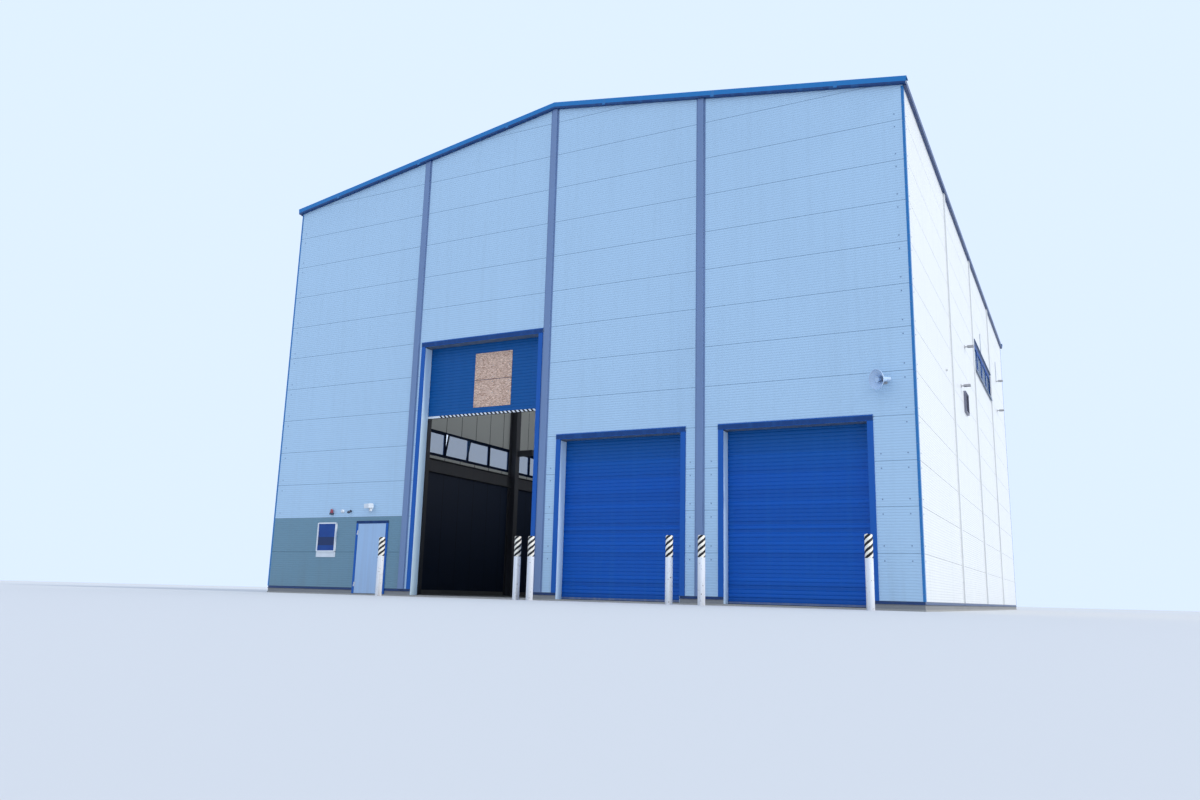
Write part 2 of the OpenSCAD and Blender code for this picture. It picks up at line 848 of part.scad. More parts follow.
// Top of the posts beside a doorway, above the barrel brackets
function jamb_top(d) = d[2] + barrel_rise + roll_r(d) + bracket_t;
// Radius of the rolled-up curtain, from the length that is wound on the barrel
function roll_r(d) = sqrt(pow(barrel_d / 2, 2) + wound(d) * slat_t / PI);
function wound(d) = d[3] - slab_h + 2 * barrel_rise;

// Box posts beside each doorway and the box beam over it, behind the wall panels
module doorway_posts() {
    color([0.45, 0.48, 0.52])
        for (d = doorways) {
            for (s = [-1, 1])
                translate([panel_side(d, s) + (s < 0 ? -jamb_w : 0), inner_y, slab_h])
                    cube([jamb_w, post_d, jamb_top(d) - slab_h - fit]);
            translate([panel_side(d, -1) + fit, inner_y, d[2] + lining_t])
                cube([d[1] + 2 * lining_t, post_d, lintel_h]);
        }
}

// Thin sheet that lines the sides and the head of each doorway
module doorway_linings() {
    depth = panel_t + post_d;
    color([0.86, 0.89, 0.94])
        for (d = doorways) {
            for (s = [-1, 1])
                translate([door_side(d, s) + (s < 0 ? -lining_t : 0), -half_d, slab_h + fit])
                    cube([lining_t, depth, d[2] - slab_h - 2 * fit]);
            translate([door_side(d, -1) - lining_t, -half_d, d[2]])
                cube([d[1] + 2 * lining_t, depth, lining_t]);
        }
}

// Folded trims on the panels round each doorway
module doorway_trims() {
    color([0.08, 0.33, 0.68])
        for (d = doorways) {
            for (s = [-1, 1])
                translate([door_side(d, s) + s * trim_w / 2, -half_d, strip_z])
                    hat_strip(d[2] - strip_z - fit, trim_w, trim_w - 4 * sheet_t, trim_proud);
            translate([door_side(d, -1) - trim_w, -half_d, d[2] + trim_w / 2])
                rotate([0, 90, 0])
                    hat_strip(d[1] + 2 * trim_w, trim_w, trim_w - 4 * sheet_t, trim_proud);
        }
}

// Channels that hold the curtain's edges, open towards the doorway
module guide(length) {
    slot_w = slat_t + 2 * guide_play;
    linear_extrude(length)
        difference() {
            translate([-guide_w, 0]) square([guide_w, guide_depth]);
            translate([-guide_w + guide_t, guide_t]) square([guide_w, slot_w]);
        }
}

module shutter_guides() {
    color([0.35, 0.37, 0.4])
        for (d = doorways)
            for (s = [-1, 1])
                translate([door_side(d, s), guide_y, slab_h])
                    mirror([s > 0 ? 1 : 0, 0, 0])
                        guide(d[2] - slab_h + lining_t);
}

// Curtain of interlocked slats, hanging in its guides and wound on its barrel above
module shutter(d) {
    bottom = d[3] + bar_h;
    axis_z = d[2] + barrel_rise;
    slats = floor((axis_z - bottom) / slat_h);
    width = d[1] + 2 * guide_bite;
    face = [for (i = [0:slats - 1], p = [[slat_hollow, 0], [0, 0.15], [0, 0.75], [slat_hollow, 0.92]])
        [p[0], bottom + (i + p[1]) * slat_h]];
    color([0.09, 0.28, 0.62]) {
        translate([d[0] - width / 2, curtain_y, 0])
            rotate([90, 0, 90])
                linear_extrude(width)
                    polygon(concat(face, [[slat_hollow, axis_z], [slat_t, axis_z], [slat_t, bottom]]));
        translate([d[0], curtain_y + roll_r(d), axis_z])
            rotate([0, 90, 0]) {
                cylinder(h = width, r = roll_r(d), center = true, $fn = 64);
                cylinder(h = width + 2 * (bracket_gap + bracket_t), d = axle_d, center = true);
            }
    }
}

module tall_shutter() {
    shutter(tall);
}

module middle_shutter() {
    shutter(middle);
}

module right_shutter() {
    shutter(right);
}

// Stiff bar under each curtain
module shutter_bars() {
    color([0.8, 0.82, 0.85])
        for (d = doorways)
            translate([d[0] - d[1] / 2 - guide_bite, curtain_y, d[3]])
                cube([d[1] + 2 * guide_bite, slat_t, bar_h]);
}

// Plates behind the posts that carry the axles
module shutter_brackets() {
    color([0.35, 0.37, 0.4])
        for (d = doorways) {
            r = roll_r(d);
            axis_y = curtain_y + r;
            axis_z = d[2] + barrel_rise;
            inset = d[1] / 2 + guide_bite + bracket_gap + bracket_t / 2;
            for (s = [-1, 1])
                difference() {
                    translate([d[0] + s * inset - bracket_t / 2, guide_y + fit, axis_z - r])
                        cube([bracket_t, axis_y + axle_d - guide_y - fit, 2 * r]);
                    translate([d[0] + s * inset, axis_y, axis_z])
                        rotate([0, 90, 0]) cylinder(h = 2 * bracket_t, d = axle_d + 2 * fit, center = true);
                }
        }
}

// Two boards fixed over the tall curtain's slats
module boarding() {
    color([0.72, 0.58, 0.4])
        for (i = [0, 1])
            translate([
                door_side(tall, -1) + board_left,
                curtain_y - board_t,
                tall_open + board_up + i * (board_h + board_gap)
            ])
                cube([board_w, board_t, board_h]);
}

// Jambs and head of the side door, each with a stop behind the leaf, and a flat threshold
module side_door_frame() {
    depth = frame_proud + panel_t;
    stop_y = leaf_t + leaf_gap;
    jamb = [
        [0, 0], [frame_w, 0], [frame_w, stop_y], [frame_w + leaf_gap + stop_w, stop_y],
        [frame_w + leaf_gap + stop_w, depth], [0, depth]
    ];
    color([0.08, 0.33, 0.68]) {
        translate([door_left, leaf_face, slab_h + fit])
            linear_extrude(door_head - frame_w - slab_h - 2 * fit) polygon(jamb);
        translate([door_right, leaf_face, slab_h + fit])
            mirror([1, 0, 0])
                linear_extrude(door_head - frame_w - slab_h - 2 * fit) polygon(jamb);
        translate([door_left, leaf_face, door_head - frame_w])
            cube([door_right - door_left, depth, frame_w]);
        translate([leaf_left + stop_w + fit, leaf_face + stop_y, leaf_top - stop_w])
            cube([leaf_w - 2 * (stop_w + fit), depth - stop_y, stop_w + leaf_gap]);
    }
}

// A hinge knuckle with its flap on the face of the leaf or the frame
module knuckle(side, bored) {
    difference() {
        union() {
            cylinder(h = knuckle_h, r = knuckle_r);
            translate([side < 0 ? -frame_w / 2 : 0, knuckle_r - sheet_t - fit, 0])
                cube([frame_w / 2, sheet_t, knuckle_h]);
        }
        if (bored) translate([0, 0, -1]) cylinder(h = knuckle_h + 2, r = pin_r + pin_play);
    }
}

// Lower knuckles on the frame, each with its pin
module side_door_pins() {
    color([0.7, 0.72, 0.75])
        for (z = hinge_z)
            translate([hinge_x, hinge_y, z - knuckle_h - fit]) {
                knuckle(-1, false);
                cylinder(h = 2 * knuckle_h, r = pin_r);
            }
}

// Upper knuckles on the leaf, turning on the pins
module side_door_hinges() {
    color([0.7, 0.72, 0.75])
        for (z = hinge_z)
            translate([hinge_x, hinge_y, z]) knuckle(1, true);
}

module side_door_leaf() {
    color([0.55, 0.68, 0.85])
        translate([leaf_left, leaf_face, leaf_bottom])
            cube([leaf_w, leaf_t, leaf_top - leaf_bottom]);
}

// A lever handle with its plate on each face of the leaf
module lever_handle() {
    plate_w = 45;
    plate_h = 220;
    plate_t = 8;
    bar_r = 10;
    reach = 55;
    translate([-plate_w / 2, -plate_t, -plate_h + plate_w]) cube([plate_w, plate_t, plate_h]);
    translate([0, -plate_t + fit, 0]) rotate([90, 0, 0]) cylinder(h = reach, r = bar_r);
    translate([0, -reach, 0]) rotate([0, -90, 0]) cylinder(h = lever_l, r = bar_r);
    translate([0, -reach, 0]) sphere(r = bar_r);
}

module side_door_handles() {
    color([0.08, 0.08, 0.09]) {
        translate([leaf_right - handle_in, leaf_face - fit, handle_z]) lever_handle();
        translate([leaf_right - handle_in, leaf_face + leaf_t + fit, handle_z]) mirror([0, 1, 0]) lever_handle();
    }
}

// Places children in a window opening: x along the opening, y into the hall, z up from its lower edge
module in_window(w) {
    mirror([w[0] < 0 ? 1 : 0, 0, 0])
        translate([half_w, w[1] - window_l / 2, w[2]])
            rotate([0, 0, 90])
                children();
}

// Fixed frame of a window with a mullion between two casements
module window_frames() {
    opening_h = panel_h - 2 * window_frame_w;
    color([0.1, 0.35, 0.7])
        for (w = windows)
            in_window(w)
                difference() {
                    translate([fit, window_back, fit])
                        cube([window_l - 2 * fit, window_frame_d, panel_h - 2 * fit]);
                    for (i = [0:casements - 1])
                        translate([
                            window_frame_w + i * casement_l + (i > 0 ? window_frame_w / 4 : 0),
                            0,
                            window_frame_w
                        ])
                            cube([
                                casement_l - window_frame_w / 4 * (i > 0 ? 1 : 0)
                                    - window_frame_w / 4 * (i < casements - 1 ? 1 : 0),
                                panel_t,
                                opening_h
                            ]);
                }
}

// Places children in a casement: x from the casement's left, z from its lower edge, tilted where open
module in_casement(w, i) {
    open = w[0] < 0 && w[1] < 0 && i == 1;
    in_window(w)
        translate([window_frame_w + i * casement_l + window_frame_w / 4 + fit, window_back + fit, window_frame_w + fit])
            translate([0, sash_d, 0])
                rotate([open ? -tilt : 0, 0, 0])
                    translate([0, -sash_d, 0])
                        children();
}

sash_l = casement_l - window_frame_w / 2 - 2 * fit;
sash_h = panel_h - 2 * window_frame_w - 2 * fit;

module window_casements() {
    color([0.1, 0.35, 0.7])
        for (w = windows, i = [0:casements - 1])
            in_casement(w, i)
                difference() {
                    cube([sash_l, sash_d, sash_h]);
                    translate([sash_w, -1, sash_w]) cube([sash_l - 2 * sash_w, sash_d + 2, sash_h - 2 * sash_w]);
                }
}

module window_glass() {
    color([0.6, 0.75, 0.9, 0.4])
        for (w = windows, i = [0:casements - 1])
            in_casement(w, i)
                translate([sash_w + fit, (sash_d - glass_t) / 2, sash_w + fit])
                    cube([sash_l - 2 * (sash_w + fit), glass_t, sash_h - 2 * (sash_w + fit)]);
}

// A folded hood over each window and a sill under it
module window_sills() {
    fold = 40;
    color([0.2, 0.35, 0.6])
        for (w = windows)
            in_window(w)
                translate([strip_w / 2, 0, 0])
                    rotate([90, 0, 90])
                        linear_extrude(window_l - strip_w) {
                            polygon([
                                [0, 0], [0, -sheet_t], [-sill_proud, -sheet_t], [-sill_proud, -fold],
                                [-sill_proud - sheet_t, -fold], [-sill_proud - sheet_t, 0]
                            ]);
                            polygon([
                                [0, panel_h + fold], [0, panel_h], [-sheet_t, panel_h], [-sheet_t, panel_h + fold - sheet_t],
                                [-sill_proud, panel_h + fold - sheet_t], [-sill_proud, panel_h + fold]
                            ]);
                        }
}

// A shallow case with a sunk face and a small box under it
module notice_board() {
    rim = 40;
    sunk = 12;
    box_h = 150;
    color([0.92, 0.93, 0.94])
        translate([door_x - notice_out, -half_d, notice_z]) {
            difference() {
                translate([-notice_w / 2, -notice_t, box_h]) cube([notice_w, notice_t, notice_h - box_h]);
                translate([-notice_w / 2 + rim, -notice_t - 1, box_h + rim])
                    cube([notice_w - 2 * rim, sunk + 1, notice_h - box_h - 2 * rim]);
            }
            translate([-notice_w / 2, -notice_t / 2, 0]) cube([notice_w, notice_t / 2, box_h - fit]);
        }
}

// A lamp with a sloping hood on a short arm over the side door
module door_lamp() {
    lamp_w = 260;
    lamp_h = 150;
    lamp_d = 180;
    base = 90;
    color([0.85, 0.87, 0.88])
        translate([door_x - lamp_out, -half_d, lamp_z]) {
            translate([-base / 2, -base / 2, -base / 2]) cube([base, base / 2, base]);
            translate([-lamp_w / 2, 0, 0])
                rotate([90, 0, 90])
                    linear_extrude(lamp_w)
                        polygon([
                            [-base / 2, base / 2], [-lamp_d, lamp_h / 2 - base / 4], [-lamp_d, -lamp_h / 4],
                            [-base / 2 - lamp_d / 4, -lamp_h / 2], [-base / 2, 0]
                        ]);
        }
}

// Three small round sensors beside the lamp
module wall_sensors() {
    sensor_d = 100;
    foot = 55;
    color([0.75, 0.78, 0.8])
        for (out = sensor_out)
            translate([door_x - out, -half_d, lamp_z - sensor_drop]) {
                rotate([90, 0, 0]) cylinder(h = foot, d = sensor_d);
                translate([0, -foot, 0]) sphere(d = sensor_d);
            }
}

// A horn speaker: a round bell with a re-entrant cone, on a bracket, turned down towards the yard
module horn_speaker() {
    bell_l = 300;
    wall = 6;
    throat = 60;
    cone_d = horn_d * 0.55;
    turn = [8, 0, -36];
    out = 430;
    color([0.72, 0.78, 0.85])
        translate([half_w - horn_in, -half_d, horn_z]) {
            translate([-50, -15, -60]) cube([100, 15, 120]);
            translate([-20, -out + bell_l / 2, -12]) cube([40, out - bell_l / 2, 24]);
            translate([0, -out + bell_l / 2, 0])
                rotate(turn)
                    rotate([90, 0, 0]) {
                        rotate_extrude()
                            polygon([
                                [0, -bell_l / 2], [throat, -bell_l / 2], [throat + 10, 0],
                                [horn_d / 3, bell_l / 3], [horn_d / 2, bell_l / 2],
                                [horn_d / 2 - wall, bell_l / 2], [horn_d / 3 - wall, bell_l / 3 + wall],
                                [throat, wall * 3], [throat / 2, wall * 3], [throat / 2, bell_l / 6],
                                [cone_d / 2, bell_l / 3], [cone_d / 2, bell_l / 3 + wall], [0, bell_l / 6 + 2 * wall]
                            ]);
                    }
        }
}

// A louvred vent in a folded case on the right wall
module side_vent() {
    blades = 8;
    rim = 30;
    depth = 70;
    back = 10;
    blade_t = 6;
    bite = back / 2;
    pitch = (vent_h - 2 * rim) / blades;
    color([0.45, 0.47, 0.5])
        translate([half_w, frame_y[1] + vent_in, vent_z])
            rotate([0, 0, 90]) {
                difference() {
                    translate([-vent_w / 2, -depth, 0]) cube([vent_w, depth, vent_h]);
                    translate([-vent_w / 2 + rim, -depth - 1, rim])
                        cube([vent_w - 2 * rim, depth - back + 1, vent_h - 2 * rim]);
                }
                for (i = [0:blades - 1])
                    translate([-vent_w / 2 + rim - bite, 0, rim + (i + 0.2) * pitch])
                        rotate([90, 0, 90])
                            linear_extrude(vent_w - 2 * rim + 2 * bite)
                                polygon([
                                    [bite - depth, blade_t], [bite - depth, 0],
                                    [-bite, 0.6 * pitch], [-bite, 0.6 * pitch + blade_t]
                                ]);
            }
}

// Lamps on short arms on the right wall
module side_lamps() {
    head_w = 120;
    head_h = 90;
    plate = 100;
    color([0.8, 0.82, 0.84])
        for (p = side_lamp_at)
            translate([half_w, frame_y[p[0]] + p[1], p[2]]) {
                translate([0, -plate / 2, -plate / 2]) cube([12, plate, plate]);
                translate([6, 0, 0]) rotate([0, 90, 0]) cylinder(h = side_lamp_l / 2, d = 34);
                translate([side_lamp_l / 2, -head_w / 2, -head_h / 2]) cube([side_lamp_l / 2, head_w, head_h]);
            }
}

// Steel tubes in front of the doorways, each with a low domed cap
module guard_posts() {
    color([0.9, 0.91, 0.93])
        for (d = doorways, s = [-1, 1])
            translate([
                door_side(d, s) + s * (d[2] == tall_h ? tall_guard_side : guard_side),
                -half_d - guard_out,
                0
            ])
                rotate_extrude()
                    polygon([
                        [0, 0], [guard_d / 2, 0], [guard_d / 2, guard_h - guard_d / 6],
                        [guard_d / 2 - guard_d / 12, guard_h - guard_d / 20], [guard_d / 5, guard_h], [0, guard_h]
                    ]);
}

floor_slab();
plinth();
base_drips();
front_panels_bay_1();
front_panels_bay_2();
front_panels_bay_3();
front_panels_bay_4();
front_dado_panels();
front_jamb_panels();
rear_wall_panels();
left_wall_panels();
right_wall_panels();
front_cover_strips();
rear_cover_strips();
side_cover_strips();
corner_flashings();
verge_flashings();
eaves_flashings();
roof_left();
roof_right();
ridge_cap();
purlins();
left_columns();
right_columns();
rafters();
front_gable_posts();
rear_gable_posts();
wall_rails();
doorway_posts();
doorway_linings();
doorway_trims();
shutter_guides();
tall_shutter();
middle_shutter();
right_shutter();
shutter_bars();
shutter_brackets();
boarding();
side_door_frame();
side_door_pins();
side_door_leaf();
side_door_hinges();
side_door_handles();
window_frames();
window_casements();
window_glass();
window_sills();
notice_board();
door_lamp();
wall_sensors();
horn_speaker();
side_vent();
side_lamps();
guard_posts();
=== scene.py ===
"""Looks of the factory hall: finishes on the built frame, and the small pieces that are too fine for it."""

import math

import bmesh
import bpy
from mathutils import Matrix, Vector


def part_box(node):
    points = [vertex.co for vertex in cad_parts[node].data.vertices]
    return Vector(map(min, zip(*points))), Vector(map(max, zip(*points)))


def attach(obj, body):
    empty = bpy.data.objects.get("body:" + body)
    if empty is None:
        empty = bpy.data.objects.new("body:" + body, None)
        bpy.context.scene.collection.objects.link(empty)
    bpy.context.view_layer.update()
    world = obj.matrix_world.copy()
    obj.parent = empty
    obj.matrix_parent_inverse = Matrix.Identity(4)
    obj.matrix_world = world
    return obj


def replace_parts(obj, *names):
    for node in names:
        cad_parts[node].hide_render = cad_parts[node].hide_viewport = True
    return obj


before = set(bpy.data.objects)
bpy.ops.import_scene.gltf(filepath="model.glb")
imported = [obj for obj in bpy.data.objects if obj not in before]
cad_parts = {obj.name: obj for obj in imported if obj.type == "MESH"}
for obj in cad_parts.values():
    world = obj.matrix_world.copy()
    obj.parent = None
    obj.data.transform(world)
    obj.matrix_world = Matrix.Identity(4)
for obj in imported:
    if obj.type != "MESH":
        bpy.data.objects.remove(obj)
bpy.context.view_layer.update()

# Camera
# The camera stands low in the yard, in front of the hall's right corner, and looks up at it.
# Its place, turn and lens were solved from the panel joints and corners of the photograph.
EYE = (12.591, -33.733, 0.168)
EYE_TURN = 0.4825
EYE_LIFT = 0.2053
EYE_ROLL = 0.0259
LENS_MM = 28.10
SENSOR_MM = 36.0

bpy.ops.object.camera_add(location=EYE)
eye = bpy.context.object
eye.name = "yard_camera"
eye.rotation_euler = (
    Matrix.Rotation(EYE_TURN, 3, "Z")
    @ Matrix.Rotation(math.pi / 2 + EYE_LIFT, 3, "X")
    @ Matrix.Rotation(EYE_ROLL, 3, "Z")
).to_euler()
eye.data.lens = LENS_MM
eye.data.sensor_width = SENSOR_MM
eye.data.clip_end = 500.0
bpy.context.scene.camera = eye

# Floor and light
# A plain pale floor and a pale surround light the hall evenly, as an open sky does. One broad
# lamp far off, on the right and a little behind the front, stands for the sun, and a soft panel
# inside for the daylight that wanders under the roof.
FLOOR_SIZE = 400.0
FLOOR_GREY = (0.62, 0.62, 0.62)
SURROUND = (0.66, 0.78, 0.98)
SURROUND_STRENGTH = 1.14
SUN_TURN = math.radians(88)
SUN_HEIGHT = math.radians(34)
INSIDE_PLACE = (3.5, -1.0, 6.0)
INSIDE_TURN = math.radians(123)

bpy.context.scene.view_settings.view_transform = "Standard"
bpy.context.scene.view_settings.look = "None"
bpy.ops.mesh.primitive_plane_add(size=FLOOR_SIZE)
floor = bpy.context.object
floor.name = "floor"
floor_paint = bpy.data.materials.new("pale_floor")
floor_paint.use_nodes = True
floor_shader = floor_paint.node_tree.nodes["Principled BSDF"]
floor_shader.inputs["Base Color"].default_value = (*FLOOR_GREY, 1)
floor_shader.inputs["Roughness"].default_value = 0.9
floor.data.materials.append(floor_paint)

surround = bpy.data.worlds.new("surround")
surround.use_nodes = True
surround.node_tree.nodes["Background"].inputs["Color"].default_value = (*SURROUND, 1)
surround.node_tree.nodes["Background"].inputs["Strength"].default_value = SURROUND_STRENGTH
bpy.context.scene.world = surround

bpy.ops.object.light_add(type="SUN", rotation=(math.pi / 2 - SUN_HEIGHT, 0, SUN_TURN))
sun = bpy.context.object
sun.name = "key_sun"
sun.data.energy = 1.75
sun.data.angle = math.radians(4)
sun.data.color = (1.0, 0.96, 0.88)

bpy.ops.object.light_add(type="AREA", location=INSIDE_PLACE, rotation=(0, INSIDE_TURN, 0))
inside_light = bpy.context.object
inside_light.name = "inside_light"
inside_light.data.shape = "RECTANGLE"
inside_light.data.size = 4.0
inside_light.data.size_y = 16.0
inside_light.data.energy = 260.0
inside_light.data.spread = math.radians(120)
inside_light.visible_camera = False

# Wall panels
# Sandwich panels of coated steel sheet on a foam core, one metre high and a bay long, laid
# flat and screwed to the posts. Their faces are rolled with fine ribs, darkened in the grooves
# with painted shade, and rain leaves faint streaks. The inner sheet is pale under the roof and
# dark to above head height, partly with painted shade.
HALF_W = 9.45
HALF_D = 12.85
PANEL_T = 0.10
PANEL_H = 1.0
RIB_PITCH = 0.0625
RIB_DEPTH = 0.004
RIB_STEEP = 3.2
JOINT_HALF = 0.006
INNER_JOINT = 0.03
PLINTH_H = 0.2
FRONT_BLUE = (0.47, 0.67, 0.86)
DADO_GREEN = (0.15, 0.29, 0.38)
# Painted sunlight: the side walls are the same sheet as the front, and their warm white is how it looks in
# full sun.
SIDE_SUNLIT_WHITE = (0.84, 0.84, 0.82)
LINING_PALE = (0.74, 0.79, 0.79)
# A dark lower lining, made darker still as painted shade.
LINING_DARK_SHADED = (0.026, 0.044, 0.095)
LINING_CHANGE = 5.05


def feed(tree, socket, value):
    """Gives a socket a number or a colour, or links another socket to it."""
    if isinstance(value, bpy.types.NodeSocket):
        tree.links.new(value, socket)
    else:
        socket.default_value = value


def add_node(tree, kind, **inputs):
    """Adds a shader node, and feeds the inputs that are named."""
    node = tree.nodes.new("ShaderNode" + kind)
    for label, value in inputs.items():
        feed(tree, node.inputs[label], value)
    return node


def add_math(tree, operation, *values):
    """A Math node with numbers or sockets on its inputs; returns its output socket."""
    node = add_node(tree, "Math")
    node.operation = operation
    for socket, value in zip(node.inputs, values):
        feed(tree, socket, value)
    return node.outputs[0]


def mix(tree, mask, first, second):
    """Mixes two colours, each a tuple or a socket, by a mask socket."""
    node = add_node(tree, "Mix", Factor=mask)
    node.data_type = "RGBA"
    for socket, value in ((node.inputs[6], first), (node.inputs[7], second)):
        feed(tree, socket, (*value, 1) if isinstance(value, tuple) else value)
    return node.outputs[2]


def object_axes(tree):
    """The three coordinates of the piece itself, as sockets named X, Y and Z."""
    place = add_node(tree, "TexCoord").outputs["Object"]
    return add_node(tree, "SeparateXYZ", Vector=place).outputs


def add_noise(tree, scale, detail, stretch=(1.0, 1.0, 1.0)):
    """Noise on the piece's own coordinates, stretched as given."""
    place = add_node(tree, "TexCoord").outputs["Object"]
    lay = add_node(tree, "Mapping", Vector=place, Scale=stretch)
    return add_node(tree, "TexNoise", Vector=lay.outputs[0], Scale=scale, Detail=detail).outputs["Fac"]


def new_effect(label, inputs, outputs):
    """Starts a node group with named inputs, each with a value, and named outputs; returns its ends too."""
    group = bpy.data.node_groups.new(label, "ShaderNodeTree")
    for name, value in inputs.items():
        socket = group.interface.new_socket(name, in_out="INPUT", socket_type="NodeSocketFloat")
        socket.default_value = value
    for name in outputs:
        group.interface.new_socket(name, in_out="OUTPUT", socket_type="NodeSocketFloat")
    return group, group.nodes.new("NodeGroupInput").outputs, group.nodes.new("NodeGroupOutput").inputs


# Fine ribs rolled into the sheet: a height that rises and falls with Z
fine_ribs, ribs_in, ribs_out = new_effect("fine_ribs", {"Pitch": RIB_PITCH}, ["Height"])
ribs_turns = add_math(fine_ribs, "DIVIDE", object_axes(fine_ribs)["Z"], ribs_in["Pitch"])
ribs_wave = add_math(fine_ribs, "PINGPONG", ribs_turns, 0.5)
ribs_flat = add_math(fine_ribs, "MULTIPLY", ribs_wave, RIB_STEEP)
feed(fine_ribs, ribs_out["Height"], add_math(fine_ribs, "MINIMUM", ribs_flat, 1.0))

# Rain streaks and dust: vertical streaks, broad clouds, and splashes near the ground
weather, weather_in, weather_out = new_effect("weather", {"Streaks": 0.3, "Splash": 0.5}, ["Mask", "Cloud"])
streak_noise = add_noise(weather, 2.4, 5.0, (3.2, 3.2, 0.12))
streaks = add_math(weather, "MULTIPLY", add_math(weather, "SUBTRACT", streak_noise, 0.48), 3.0)
streaks = add_math(weather, "MULTIPLY", add_math(weather, "MAXIMUM", streaks, 0.0), weather_in["Streaks"])
splash_fall = add_math(weather, "MULTIPLY", object_axes(weather)["Z"], -1.3)
splashes = add_math(weather, "MULTIPLY", add_math(weather, "EXPONENT", splash_fall), streak_noise)
splashes = add_math(weather, "MULTIPLY", splashes, weather_in["Splash"])
soiled = add_math(weather, "ADD", streaks, splashes)
feed(weather, weather_out["Mask"], add_math(weather, "MINIMUM", soiled, 1.0))
feed(weather, weather_out["Cloud"], add_noise(weather, 0.35, 3.0))

# The joints between the rows of panels: 1 in a joint and just beside it
row_joints, joints_in, joints_out = new_effect(
    "row_joints", {"Start": PLINTH_H, "Half Width": JOINT_HALF}, ["Joint"]
)
joint_rise = add_math(row_joints, "SUBTRACT", object_axes(row_joints)["Z"], joints_in["Start"])
joint_near = add_math(row_joints, "PINGPONG", joint_rise, PANEL_H / 2)
joint_mask = add_math(row_joints, "LESS_THAN", joint_near, joints_in["Half Width"])
feed(row_joints, joints_out["Joint"], joint_mask)

# The inner side of the walls: 1 behind the panels' outer sheets, 0 outside
inner_side, _, inner_out = new_effect("inner_side", {}, ["Inside", "Low", "Joint"])
inner_axes = object_axes(inner_side)
inner_x = add_math(inner_side, "ABSOLUTE", inner_axes["X"])
inner_y = add_math(inner_side, "ABSOLUTE", inner_axes["Y"])
within_x = add_math(inner_side, "LESS_THAN", inner_x, HALF_W - PANEL_T / 2)
within_y = add_math(inner_side, "LESS_THAN", inner_y, HALF_D - PANEL_T / 2)
feed(inner_side, inner_out["Inside"], add_math(inner_side, "MULTIPLY", within_x, within_y))
feed(inner_side, inner_out["Low"], add_math(inner_side, "LESS_THAN", inner_axes["Z"], LINING_CHANGE))
inner_turn = add_math(inner_side, "FRACT", add_math(inner_side, "ADD", inner_axes["X"], inner_axes["Y"]))
feed(inner_side, inner_out["Joint"], add_math(inner_side, "LESS_THAN", inner_turn, INNER_JOINT))


def new_material(label, roughness, coat=0.0, gloss=0.5):
    """A material with its numbers on the shader; returns it and its node tree."""
    paint = bpy.data.materials.new(label)
    paint.use_nodes = True
    shader = paint.node_tree.nodes["Principled BSDF"]
    shader.inputs["Roughness"].default_value = roughness
    shader.inputs["Specular IOR Level"].default_value = gloss
    shader.inputs["Coat Weight"].default_value = coat
    shader.inputs["Coat Roughness"].default_value = 0.25
    return paint, paint.node_tree


def effect(tree, group, **values):
    """Places a node group in a material with its own values; returns its outputs."""
    node = add_node(tree, "Group")
    node.node_tree = group
    for label, value in values.items():
        node.inputs[label].default_value = value
    return node.outputs


def cover(paint, colour, height=None, distance=0.01, strength=0.4):
    """Ends a finish: feeds a colour to its shader, and a height in metres to the normal; returns it."""
    tree = paint.node_tree
    feed(tree, tree.nodes["Principled BSDF"].inputs["Base Color"], colour)
    if height:
        bump = add_node(tree, "Bump", Height=height, Distance=distance, Strength=strength)
        feed(tree, tree.nodes["Principled BSDF"].inputs["Normal"], bump.outputs["Normal"])
    return paint


def shade(colour, factor):
    """A colour made lighter or darker."""
    return tuple(min(1.0, part * factor) for part in colour)


def panel_finish(label, outer, soil):
    """Ribbed coated sheet outside with painted shade in the grooves; inside plain, pale above, dark below,
    partly painted shade.
    """
    paint, tree = new_material(label, 0.45, coat=0.15)
    ribs = effect(tree, fine_ribs, Pitch=RIB_PITCH)["Height"]
    soiling = effect(tree, weather, Streaks=0.22, Splash=0.55)
    rows = effect(tree, row_joints, Start=PLINTH_H - PANEL_H)
    side = effect(tree, inner_side)
    worn = mix(tree, soiling["Cloud"], outer, shade(outer, 0.93))
    worn = mix(tree, soiling["Mask"], worn, soil)
    # Painted shade: the rib grooves are darkened so the ribs read from afar.
    worn = mix(tree, add_math(tree, "SUBTRACT", 1.0, ribs), worn, shade(outer, 0.86))
    worn = mix(tree, rows["Joint"], worn, shade(outer, 0.62))
    lining = mix(tree, side["Low"], LINING_PALE, LINING_DARK_SHADED)
    lining = mix(tree, side["Joint"], lining, shade(LINING_DARK_SHADED, 0.5))
    outside = add_math(tree, "SUBTRACT", 1.0, side["Inside"])
    height = add_math(tree, "MULTIPLY", ribs, outside)
    return cover(paint, mix(tree, side["Inside"], worn, lining), height, RIB_DEPTH, 1.0)


def dress(material, *nodes):
    """Gives a material to built pieces whose shape stays as it is."""
    for name in nodes:
        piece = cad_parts[name]
        piece.data.materials.clear()
        piece.data.materials.append(material)


front_sheet = panel_finish("front_sheet", FRONT_BLUE, (0.32, 0.45, 0.56))
dress(front_sheet, *(f"front_panels_bay_{bay}" for bay in range(1, 5)))
dress(front_sheet, "front_jamb_panels", "rear_wall_panels")
dress(panel_finish("dado_sheet", DADO_GREEN, (0.14, 0.20, 0.22)), "front_dado_panels")
# The side walls take the sunlit white, painted sunlight on the front's sheet.
dress(panel_finish("side_sunlit_sheet", SIDE_SUNLIT_WHITE, (0.55, 0.56, 0.55)), "left_wall_panels", "right_wall_panels")

